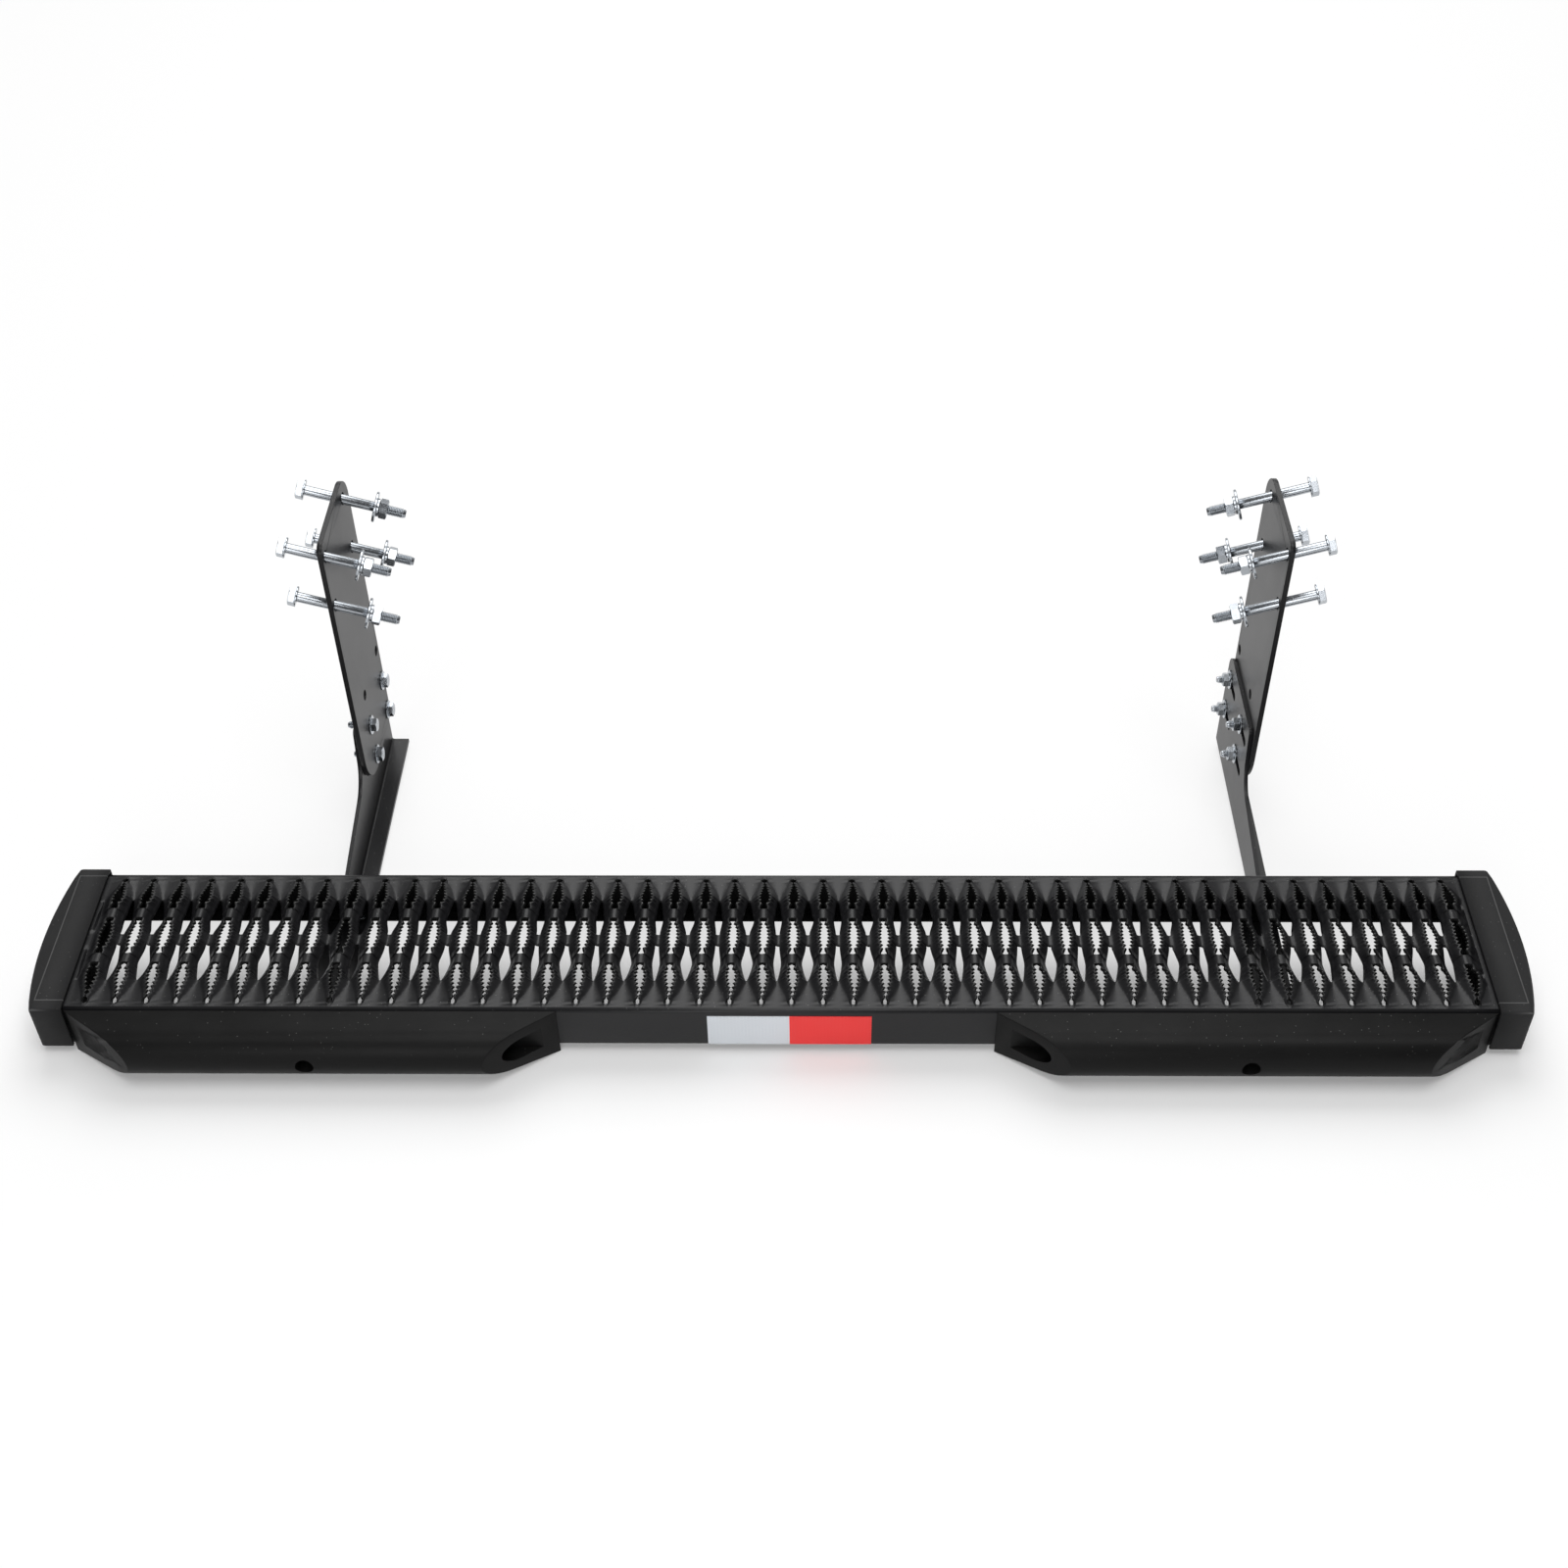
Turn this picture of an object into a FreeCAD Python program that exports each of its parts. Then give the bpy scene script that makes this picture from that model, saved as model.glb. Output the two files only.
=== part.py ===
import FreeCAD, Part
import math
import os
from FreeCAD import Vector

# Rear bumper step for a van: a grip-tread channel carried by two folded arms, with a frame plate
# bolted through fore-aft slots in each arm. Millimetres, X to the right, Y to the vehicle, Z up.
# The design frame has its origin at the middle of the tread's flat margin level.

# Tread channel
CHANNEL_LENGTH = 1371.6
CHANNEL_DEPTH = 176.0
CHANNEL_HEIGHT = 49.0
SHEET = 2.6
FOLD_RADIUS = 4.0
LIP_WIDTH = 18.5

# Grip pattern: ridges with raised almond openings, valleys with low openings between them
COLUMN_PITCH = 28.575
COLUMN_STAGGER = 0.31
END_MARGIN = 27.0
ROW_PITCH = 56.0
ALMOND_LENGTH = 44.0
ALMOND_WIDTH = 7.4
LOW_LENGTH = 44.0
LOW_WIDTH_NARROW = 7.2
LOW_WIDTH_WIDE = 9.4
RIDGE_WIDTH = 9.8
RIDGE_RISE = 4.5
VALLEY_DROP = 3.5
SLOPE_RUN = 3.6
PATTERN_FADE = 3.5
TIP_WEB = 1.0

# End caps
CAP_WALL = 3.2
CAP_CLEARANCE = 0.3
CAP_COVER = 24.8
CAP_TOP_WALL = 4.2
CAP_SIDE = 5.2
CAP_BULGE = 12.0
CAP_SHORT = 1.0
CAP_END_RUN = 11.5
CAP_END_DROP = 1.2
CAP_END_RADIUS = 2.5
CAP_RIDGE = 1.7
CAP_SHOULDER_SLOPE = 12.0

# Bumper pads
PAD_LENGTH = 458.0
PAD_CAP_GAP = 0.5
PAD_HEIGHT = 56.5
PAD_DEPTH = 46.5
PAD_TOP_DROP = 1.0
PAD_NOSE_RADIUS = 25.0
PAD_MITRE_SETBACK = 66.0
PAD_BACK_WALL = 10.0
PAD_BORE_RADIUS = 13.0
PAD_ACCESS_HOLE = 17.0

# Reflective tape, pressed a little way round the flange's lower fold
TAPE_LENGTH = 76.0
TAPE_TOP_GAP = 7.0
TAPE_THICKNESS = 0.4
TAPE_GLUE = 0.05
TAPE_CENTRE = 12.0
TAPE_WRAP = 50.0

# Arms
ARM_SPACING = 900.0
ARM_SHIFT = 19.0
ARM_SHEET = 4.0
ARM_FLANGE = 21.5
ARM_BEND_RADIUS = 2.0
ARM_REACH = 341.0
ARM_FRONT_GAP = 0.5
ARM_FRONT_HEIGHT = 37.5
FOOT_SIDE = 21.0
FOOT_FRONT_GAP = 2.0
FOOT_CORNER = 8.0
FOOT_BOLT_SIDE = 12.0
FOOT_BOLT_HEAD = 4.2
FOOT_WASHER_GAP = 0.3
EAR_TOP_MARGIN = 24.0
EAR_FRONT_MARGIN = 5.5
EAR_FRONT_LEAN = 11.0
EAR_BASE = 11.0
EAR_THROAT_RADIUS = 35.0
EAR_BACK_RADIUS = 16.0
EAR_FRONT_RADIUS = 6.0

# Frame plates
PLATE_SHEET = 5.0
PLATE_WIDTH = 127.0
PLATE_HEIGHT = 312.0
PLATE_BACK_INSET = 5.0
PLATE_LOW_MARGIN = 13.5
PLATE_TOP_FRONT_RADIUS = 10.0
PLATE_TOP_BACK_RADIUS = 26.0
PLATE_BOTTOM_FRONT_RADIUS = 45.0
PLATE_BOTTOM_BACK_RADIUS = 12.0

# Slot bolts between plate and arm, and the vacant row above them
SLOT_BOLT_INSET = 16.0
SLOT_BOLT_PITCH_Y = 70.5
SLOT_BOLT_LOW = 7.5
SLOT_BOLT_PITCH_Z = 40.5
SLOT_TRAVEL = 27.5
SLOT_BACK_ROOM = 0.5
VACANT_HOLE = 11.0

# Frame bolts that hang in the plate's upper holes
FRAME_BOLT_FRONT_INSET = 11.0
FRAME_BOLT_BACK_INSET = 23.0
FRAME_BOLT_TOP_INSET = 17.0
FRAME_BOLT_PITCH_Z = 57.5
FRAME_BOLT_DROOP = 17.0
FRAME_BOLT_ROOM = 0.7
FRAME_BOLT_HEAD_AT = -36.0
FRAME_WASHER_AT = 33.0

# Fasteners: shank diameter, head and nut across flats, heights, and the tail that shows past each nut
M8_SHANK = 7.8
M8_HOLE_ROOM = 1.2
M8_FLATS = 13.0
M8_HEAD = 5.3
M8_NUT = 6.5
M8_WASHER = 16.0
M8_WIDE_WASHER = 20.0
M8_WASHER_SHEET = 1.6
SLOT_BOLT_TAIL = 6.3
PAD_BOLT_TAIL = 4.7
FOOT_BOLT_TAIL = 1.3
M10_SHANK = 9.8
M10_FLATS = 17.0
M10_HEAD = 6.4
M10_NUT = 8.4
M10_BOLT_LENGTH = 100.0
M10_HEAD_WASHER = 20.0
M10_FLAT_WASHER = 30.0
M10_FLAT_SHEET = 2.5
M10_SPRING_WASHER = 18.0
M10_SPRING_SHEET = 2.4
SPRING_SPLIT = 2.0
NUT_CLEARANCE = 0.1
WASHER_CLEARANCE = 0.4

# Measures closer than this count as equal
TOLERANCE = 0.01

# Derived places
HALF_LENGTH = CHANNEL_LENGTH / 2
FACE_Y = CHANNEL_DEPTH / 2
PAD_BOTTOM = -PAD_TOP_DROP - PAD_HEIGHT
PAD_NOSE_Y = -FACE_Y - PAD_DEPTH + PAD_NOSE_RADIUS
PAD_NOSE_Z = -PAD_TOP_DROP - PAD_NOSE_RADIUS
PAD_MIDDLE_X = HALF_LENGTH - CAP_COVER - PAD_CAP_GAP - PAD_LENGTH / 2
ARM_BOTTOM = -CHANNEL_HEIGHT - ARM_SHEET
ARM_FRONT = FACE_Y + ARM_FRONT_GAP
M8_HOLE = M8_SHANK + M8_HOLE_ROOM
SLOT_BOLT_BACK = ARM_REACH - SLOT_BOLT_INSET
SLOT_BOLT_FRONT = SLOT_BOLT_BACK - SLOT_BOLT_PITCH_Y
EAR_TOP = SLOT_BOLT_LOW + SLOT_BOLT_PITCH_Z + EAR_TOP_MARGIN
EAR_FRONT_TOP = SLOT_BOLT_FRONT - SLOT_TRAVEL - M8_HOLE / 2 - EAR_FRONT_MARGIN
EAR_FRONT_BASE = EAR_FRONT_TOP - EAR_FRONT_LEAN
PLATE_BACK = ARM_REACH - PLATE_BACK_INSET
PLATE_FRONT = PLATE_BACK - PLATE_WIDTH
PLATE_BOTTOM = SLOT_BOLT_LOW - PLATE_LOW_MARGIN
PLATE_TOP = PLATE_BOTTOM + PLATE_HEIGHT
FRAME_BOLT_BACK = PLATE_BACK - FRAME_BOLT_BACK_INSET
FRAME_BOLT_FRONT = PLATE_FRONT + FRAME_BOLT_FRONT_INSET
FRAME_BOLT_TOP = PLATE_TOP - FRAME_BOLT_TOP_INSET
DROOP = math.radians(FRAME_BOLT_DROOP)
FRAME_BOLT_HOLE = M10_SHANK / math.cos(DROOP) + PLATE_SHEET * math.tan(DROOP) + FRAME_BOLT_ROOM
LIP_BOLT_Y = FACE_Y - FOLD_RADIUS - FOOT_WASHER_GAP - M8_WASHER / 2
ORIGIN_Y = (ARM_REACH - FACE_Y - PAD_DEPTH) / 2
ORIGIN_Z = PAD_BOTTOM
SIDES = {"left": ARM_SHIFT - ARM_SPACING / 2, "right": ARM_SHIFT + ARM_SPACING / 2}
OUTWARD = {"left": -1, "right": 1}


def save(node, solids):
    """Move the solids from the design frame to the part's frame and write one node."""
    shape = solids[0] if len(solids) == 1 else Part.makeCompound(solids)
    shape = shape.copy()
    shape.translate(Vector(0, -ORIGIN_Y, -ORIGIN_Z))
    shape.exportStep(os.path.join("parts", node + ".step"))


def rounded_wire(corners):
    """Closed wire through coplanar corners given as (point, radius), each corner an arc."""
    edges = []
    ends = []
    count = len(corners)
    for index, (point, radius) in enumerate(corners):
        to_last = (corners[index - 1][0] - point).normalize()
        to_next = (corners[(index + 1) % count][0] - point).normalize()
        half = math.acos(max(-1.0, min(1.0, to_last.dot(to_next)))) / 2
        if radius <= 0:
            ends.append((point, point, None))
            continue
        reach = radius / math.tan(half)
        bisector = (to_last + to_next).normalize()
        middle = point + bisector * (radius / math.sin(half) - radius)
        ends.append((point + to_last * reach, point + to_next * reach, middle))
    for index, (start, finish, middle) in enumerate(ends):
        if middle is not None:
            edges.append(Part.Arc(start, middle, finish).toShape())
        following = ends[(index + 1) % count][0]
        if finish.distanceToPoint(following) > TOLERANCE:
            edges.append(Part.LineSegment(finish, following).toShape())
    return Part.Wire(edges)


def plate_in_yz(corners, x, thickness):
    """Sheet of the given outline in Y and Z, from x towards +X."""
    wire = rounded_wire([(Vector(x, y, z), radius) for y, z, radius in corners])
    return Part.Face(wire).extrude(Vector(thickness, 0, 0))


def cylinder(diameter, start, direction, length):
    """Round bar from start along direction."""
    return Part.makeCylinder(diameter / 2, length, start, direction)


def hexagon(flats, start, length):
    """Hexagonal bar along +X with flats facing up and down."""
    radius = flats / math.sqrt(3)
    angles = [math.radians(60 * step) for step in range(7)]
    points = [start + Vector(0, radius * math.cos(a), radius * math.sin(a)) for a in angles]
    return Part.Face(Part.makePolygon(points)).extrude(Vector(length, 0, 0))


def bolt(shank, length, flats, head):
    """Hex bolt along +X with the underside of its head at the origin."""
    head_solid = hexagon(flats, Vector(-head, 0, 0), head)
    return head_solid.fuse(cylinder(shank, Vector(0, 0, 0), Vector(1, 0, 0), length)).removeSplitter()


def nut(shank, flats, height, at):
    """Hex nut along +X that starts at the given distance from the bolt head."""
    body = hexagon(flats, Vector(at, 0, 0), height)
    return body.cut(cylinder(shank + 2 * NUT_CLEARANCE, Vector(at, 0, 0), Vector(1, 0, 0), height))


def washer(shank, outer, sheet, at):
    """Flat washer along +X that starts at the given distance from the bolt head."""
    start = Vector(at, 0, 0)
    bore = cylinder(shank + 2 * WASHER_CLEARANCE, start, Vector(1, 0, 0), sheet)
    return cylinder(outer, start, Vector(1, 0, 0), sheet).cut(bore)


def spring_washer(shank, outer, sheet, at):
    """Split ring along +X with its gap at the top."""
    gap = Part.makeBox(sheet, SPRING_SPLIT, outer, Vector(at, -SPRING_SPLIT / 2, 0))
    return washer(shank, outer, sheet, at).cut(gap)


def placed(solid, position, direction, droop=0.0):
    """Turn a fastener made along +X to a direction (+1, -1 along X or 'up', 'back') and place it."""
    result = solid.copy()
    if droop:
        result.rotate(Vector(0, 0, 0), Vector(0, 1, 0), droop)
    if direction == -1:
        result.rotate(Vector(0, 0, 0), Vector(0, 0, 1), 180)
    elif direction == "up":
        result.rotate(Vector(0, 0, 0), Vector(0, 1, 0), -90)
    elif direction == "back":
        result.rotate(Vector(0, 0, 0), Vector(0, 0, 1), 90)
    result.translate(position)
    return result


def column_centres():
    """X of each ridge, in pairs drawn slightly together."""
    count = 2 * int((HALF_LENGTH - END_MARGIN) / COLUMN_PITCH)
    middle = (count - 1) / 2
    return [(i - middle) * COLUMN_PITCH + (COLUMN_STAGGER if i % 2 == 0 else -COLUMN_STAGGER)
            for i in range(count)]


def almond(x, y, length, width, z):
    """Pointed opening: two tips, with three points on each side."""
    half = length / 2
    side = [(-half / 2, 0.75), (0, 1.0), (half / 2, 0.75)]
    right = [Vector(x + width / 2 * share, y + along, z) for along, share in side]
    left = [Vector(x - width / 2 * share, y + along, z) for along, share in reversed(side)]
    return [Vector(x, y - half, z)] + right + [Vector(x, y + half, z)] + left


def polygon_face(points, holes=()):
    """Planar face with polygonal holes."""
    outer = Part.Face(Part.makePolygon(list(points) + [points[0]]))
    if not holes:
        return outer
    cuts = [Part.Face(Part.makePolygon(hole + [hole[0]])) for hole in holes]
    return outer.cut(Part.makeCompound(cuts)).Faces[0]


def drop(points, distance=SHEET):
    """The same points, lower by a sheet's thickness."""
    return [point - Vector(0, 0, distance) for point in points]


def tread_profile(centres):
    """Breakpoints of the corrugation along X as (x, level), from one flat end to the other."""
    half = RIDGE_WIDTH / 2
    points = [(centres[0] - half - SLOPE_RUN, 0.0)]
    for index, x in enumerate(centres):
        points += [(x - half, RIDGE_RISE), (x + half, RIDGE_RISE)]
        if index + 1 < len(centres):
            points += [(x + half + SLOPE_RUN, -VALLEY_DROP),
                       (centres[index + 1] - half - SLOPE_RUN, -VALLEY_DROP)]
    return points + [(centres[-1] + half + SLOPE_RUN, 0.0)]


def tread_openings(centres):
    """Openings of each flat of the corrugation, by the index of the flat's first breakpoint."""
    openings = {}
    for index, x in enumerate(centres):
        openings[1 + 4 * index] = [almond(x, row * ROW_PITCH, ALMOND_LENGTH, ALMOND_WIDTH, RIDGE_RISE)
                                   for row in (-1, 0, 1)]
        if index + 1 < len(centres):
            middle = (x + centres[index + 1]) / 2
            width = LOW_WIDTH_NARROW if index % 2 == 0 else LOW_WIDTH_WIDE
            openings[3 + 4 * index] = [almond(middle, row * ROW_PITCH / 2, LOW_LENGTH, width, -VALLEY_DROP)
                                       for row in (-1, 1)]
    return openings


def tread_faces():
    """Faces of the corrugated net, top, underside and opening walls, with its flat border."""
    centres = column_centres()
    profile = tread_profile(centres)
    openings = tread_openings(centres)
    full = ROW_PITCH + ALMOND_LENGTH / 2 + TIP_WEB
    flat = full + PATTERN_FADE
    faces = []
    top = []
    for index in range(len(profile) - 1):
        (x0, z0), (x1, z1) = profile[index], profile[index + 1]
        holes = openings.get(index, [])
        strip = [Vector(x0, -full, z0), Vector(x1, -full, z1), Vector(x1, full, z1), Vector(x0, full, z0)]
        top.append((strip, holes))
        for hole in holes:
            for here, there in zip(hole, hole[1:] + hole[:1]):
                faces.append(polygon_face([here, there, *drop([there, here])]))
        for end in (-1, 1):
            near0, near1 = Vector(x0, end * full, z0), Vector(x1, end * full, z1)
            far0, far1 = Vector(x0, end * flat, 0), Vector(x1, end * flat, 0)
            if z0 == z1:
                top.append(([near0, near1, far1, far0], []))
            else:
                top += [([near0, near1, far1], []), ([near0, far1, far0], [])]
    for points, holes in top:
        faces.append(polygon_face(points, holes))
        faces.append(polygon_face(drop(points), [drop(hole) for hole in holes]))
    along = [Vector(x, -flat, 0) for x, _ in profile]
    back = [Vector(x, flat, 0) for x, _ in reversed(profile)]
    first, last = profile[0][0], profile[-1][0]
    right = [Vector(last, -full, 0), Vector(last, full, 0)]
    left = [Vector(first, full, 0), Vector(first, -full, 0)]
    return faces, along + right + back + left


def channel_solid():
    """Plain folded channel with return lips and its bolt holes."""
    y = FACE_Y
    inner = FOLD_RADIUS - SHEET
    low = -CHANNEL_HEIGHT
    outside = [(-y + LIP_WIDTH, low, 0), (-y, low, FOLD_RADIUS), (-y, 0, FOLD_RADIUS),
               (y, 0, FOLD_RADIUS), (y, low, FOLD_RADIUS), (y - LIP_WIDTH, low, 0)]
    floor = low + SHEET
    inside = [(y - LIP_WIDTH, floor, 0), (y - SHEET, floor, inner), (y - SHEET, -SHEET, inner),
              (-y + SHEET, -SHEET, inner), (-y + SHEET, floor, inner), (-y + LIP_WIDTH, floor, 0)]
    wire = rounded_wire([(Vector(-HALF_LENGTH, py, pz), r) for py, pz, r in outside + inside])
    solid = Part.Face(wire).extrude(Vector(CHANNEL_LENGTH, 0, 0))
    for side in (-1, 1):
        at = Vector(side * PAD_MIDDLE_X, -y, PAD_NOSE_Z)
        solid = solid.cut(cylinder(M8_HOLE, at, Vector(0, 1, 0), 2 * SHEET))
    for x in SIDES.values():
        for end in (-1, 1):
            at = Vector(x + FOOT_BOLT_SIDE, end * LIP_BOLT_Y, low)
            solid = solid.cut(cylinder(M8_HOLE, at, Vector(0, 0, 1), 2 * SHEET))
    return solid


def tread_plank():
    """Channel whose top is replaced by the grip pattern, sewn into one solid."""
    faces, border = tread_faces()
    reach = FACE_Y - FOLD_RADIUS
    corners = [Vector(-HALF_LENGTH, -reach, 0), Vector(HALF_LENGTH, -reach, 0),
               Vector(HALF_LENGTH, reach, 0), Vector(-HALF_LENGTH, reach, 0)]
    kept = [face for face in channel_solid().Faces
            if not (face.CenterOfMass.Length < SHEET + TOLERANCE and face.BoundBox.ZLength < TOLERANCE)]
    faces += [polygon_face(corners, [border]), polygon_face(drop(corners), [drop(border)])]
    shell = Part.makeCompound(kept + faces)
    shell.sewShape()
    solid = Part.Solid(shell.Shells[0])
    if solid.Volume < 0:
        solid.reverse()
    return solid


def end_cap(side):
    """Moulded cap over the plank's end, open below and inwards, with a sloping shoulder to a bowed face."""
    inner_x = HALF_LENGTH - CAP_COVER
    outer_x = HALF_LENGTH + CAP_SIDE
    half = FACE_Y + CAP_CLEARANCE + CAP_WALL
    top = CAP_CLEARANCE + CAP_TOP_WALL
    bottom = -CHANNEL_HEIGHT + CAP_SHORT

    def plan(start_x, end_x, half_y, low, height):
        corners = [Vector(start_x, -half_y, low), Vector(end_x, -half_y, low),
                   Vector(end_x, half_y, low), Vector(start_x, half_y, low)]
        bow = Part.Arc(corners[1], Vector(end_x + CAP_BULGE, 0, low), corners[2]).toShape()
        lines = [Part.LineSegment(corners[i], corners[j]).toShape() for i, j in ((0, 1), (2, 3), (3, 0))]
        return Part.Face(Part.Wire([lines[0], bow, lines[1], lines[2]])).extrude(Vector(0, 0, height))

    body = plan(inner_x, outer_x, half, bottom, top - bottom)
    for end in (-1, 1):
        crease = Vector(inner_x, end * (half - CAP_END_RUN), top)
        edge = Vector(inner_x, end * half, top - CAP_END_DROP)
        wedge = polygon_face([crease, edge, Vector(inner_x, end * half, top)])
        body = body.cut(wedge.extrude(Vector(outer_x + CAP_BULGE - inner_x, 0, 0)))
    ends = [edge for edge in body.Edges
            if edge.BoundBox.ZMin > top - CAP_END_DROP - TOLERANCE and edge.BoundBox.YLength < TOLERANCE
            and abs(edge.BoundBox.YMin) > half - TOLERANCE]
    body = body.makeFillet(CAP_END_RADIUS, ends)
    ridge = Vector(HALF_LENGTH + CAP_RIDGE, 0, top)
    above = Part.makeBox(CAP_COVER, 2 * half, CAP_COVER, ridge - Vector(0, half, 0))
    above.rotate(ridge, Vector(0, 1, 0), CAP_SHOULDER_SLOPE)
    body = body.cut(above)
    cavity = plan(inner_x, outer_x - CAP_WALL, half - CAP_WALL, bottom, CAP_CLEARANCE - bottom)
    cap = body.cut(cavity)
    return cap if side > 0 else cap.mirror(Vector(0, 0, 0), Vector(1, 0, 0))


def d_section(x, back_y, low, radius):
    """D outline in Y and Z: flat top, round nose towards -Y, and an underside that runs up to the nose."""
    centre = Vector(x, PAD_NOSE_Y, PAD_NOSE_Z)
    heel = Vector(x, back_y, low)
    away = centre - heel
    turn = math.atan2(away.z, away.y) + math.asin(radius / away.Length)
    reach = math.sqrt(away.Length ** 2 - radius ** 2)
    touch = heel + Vector(0, math.cos(turn), math.sin(turn)) * reach
    crown = centre + Vector(0, 0, radius)
    top = Vector(x, back_y, crown.z)
    nose = Part.Arc(crown, centre - Vector(0, radius, 0), touch).toShape()
    sides = [Part.LineSegment(start, end).toShape() for start, end in ((heel, top), (top, crown))]
    underside = Part.LineSegment(touch, heel).toShape()
    return Part.Face(Part.Wire(sides + [nose, underside]))


def bumper_pad(side):
    """Hollow rubber D section with mitred ends, a bolt hole in its back and an access hole in its nose."""
    start = side * PAD_MIDDLE_X - PAD_LENGTH / 2
    along = Vector(PAD_LENGTH, 0, 0)
    middle = Vector(side * PAD_MIDDLE_X, -FACE_Y, PAD_NOSE_Z)
    bore_back = -FACE_Y - PAD_BACK_WALL
    pad = d_section(start, -FACE_Y, PAD_BOTTOM, PAD_NOSE_RADIUS).extrude(along)
    pad = pad.cut(d_section(start, bore_back, PAD_NOSE_Z - PAD_BORE_RADIUS, PAD_BORE_RADIUS).extrude(along))
    outline = [Vector(start, -FACE_Y, 0), Vector(start + PAD_LENGTH, -FACE_Y, 0),
               Vector(start + PAD_LENGTH - PAD_MITRE_SETBACK, -FACE_Y - PAD_DEPTH, 0),
               Vector(start + PAD_MITRE_SETBACK, -FACE_Y - PAD_DEPTH, 0)]
    mitre = Part.Face(Part.makePolygon(outline + [outline[0]])).extrude(Vector(0, 0, PAD_HEIGHT))
    mitre.translate(Vector(0, 0, PAD_BOTTOM))
    pad = pad.common(mitre)
    pad = pad.cut(cylinder(M8_HOLE, middle, Vector(0, -1, 0), PAD_DEPTH / 2))
    nose_start = middle - Vector(0, PAD_DEPTH / 2, 0)
    return pad.cut(cylinder(PAD_ACCESS_HOLE, nose_start, Vector(0, -1, 0), PAD_DEPTH))


def tape(start_x):
    """One strip of tape down the front flange and round part of its lower fold."""
    fold = Vector(start_x, -FACE_Y + FOLD_RADIUS, -CHANNEL_HEIGHT + FOLD_RADIUS)

    def run(radius):
        turns = [math.radians(TAPE_WRAP * share) for share in (0, 0.5, 1)]
        points = [fold - Vector(0, radius * math.cos(a), radius * math.sin(a)) for a in turns]
        top = Vector(start_x, points[0].y, -TAPE_TOP_GAP)
        return top, points

    inner_top, inner = run(FOLD_RADIUS + TAPE_GLUE)
    outer_top, outer = run(FOLD_RADIUS + TAPE_GLUE + TAPE_THICKNESS)
    edges = [Part.LineSegment(inner_top, inner[0]).toShape(), Part.Arc(*inner).toShape(),
             Part.LineSegment(inner[2], outer[2]).toShape(), Part.Arc(*reversed(outer)).toShape(),
             Part.LineSegment(outer[0], outer_top).toShape(),
             Part.LineSegment(outer_top, inner_top).toShape()]
    return Part.Face(Part.Wire(edges)).extrude(Vector(TAPE_LENGTH, 0, 0))


def slot_bolt_places():
    """Y and Z of the four bolts that join plate and arm."""
    return [(y, SLOT_BOLT_LOW + row * SLOT_BOLT_PITCH_Z)
            for row in (0, 1) for y in (SLOT_BOLT_FRONT, SLOT_BOLT_BACK)]


def frame_bolt_places():
    """Y and Z of the four frame bolts in the plate's upper part."""
    return [(y, FRAME_BOLT_TOP - row * FRAME_BOLT_PITCH_Z)
            for row in (0, 1) for y in (FRAME_BOLT_FRONT, FRAME_BOLT_BACK)]


def arm(x):
    """Folded arm: web with a slotted ear, bottom flange to +X, and a flat foot under the plank."""
    bend_out = ARM_BEND_RADIUS + ARM_SHEET
    section = [(0, ARM_BOTTOM, bend_out), (ARM_FLANGE, ARM_BOTTOM, 0), (ARM_FLANGE, -CHANNEL_HEIGHT, 0),
               (ARM_SHEET, -CHANNEL_HEIGHT, ARM_BEND_RADIUS), (ARM_SHEET, EAR_TOP, 0), (0, EAR_TOP, 0)]
    wire = rounded_wire([(Vector(x + px, ARM_FRONT, pz), r) for px, pz, r in section])
    angle = Part.Face(wire).extrude(Vector(0, ARM_REACH - ARM_FRONT, 0))
    front_top = ARM_FRONT_HEIGHT - CHANNEL_HEIGHT
    outline = [(ARM_FRONT, ARM_BOTTOM, 0), (ARM_REACH, ARM_BOTTOM, 0),
               (ARM_REACH, EAR_TOP, EAR_BACK_RADIUS), (EAR_FRONT_TOP, EAR_TOP, EAR_FRONT_RADIUS),
               (EAR_FRONT_BASE, EAR_BASE, EAR_THROAT_RADIUS), (ARM_FRONT, front_top, 0)]
    body = angle.common(plate_in_yz(outline, x, ARM_FLANGE))
    foot_front = -FACE_Y + FOOT_FRONT_GAP
    left, right = x - FOOT_SIDE, x + ARM_FLANGE
    plan = [(left, foot_front, FOOT_CORNER), (right, foot_front, FOOT_CORNER), (right, ARM_FRONT, 0),
            (left, ARM_FRONT, FOOT_CORNER)]
    foot = Part.Face(rounded_wire([(Vector(px, py, ARM_BOTTOM), r) for px, py, r in plan]))
    body = body.fuse(foot.extrude(Vector(0, 0, ARM_SHEET))).removeSplitter()
    for y, z in slot_bolt_places():
        front, back = y - SLOT_TRAVEL, y + SLOT_BACK_ROOM
        half = M8_HOLE / 2
        slot = [(front - half, z - half, half), (back + half, z - half, half),
                (back + half, z + half, half), (front - half, z + half, half)]
        body = body.cut(plate_in_yz(slot, x, ARM_SHEET))
    for end in (-1, 1):
        at = Vector(x + FOOT_BOLT_SIDE, end * LIP_BOLT_Y, ARM_BOTTOM)
        body = body.cut(cylinder(M8_HOLE, at, Vector(0, 0, 1), ARM_SHEET))
    return body


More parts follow.
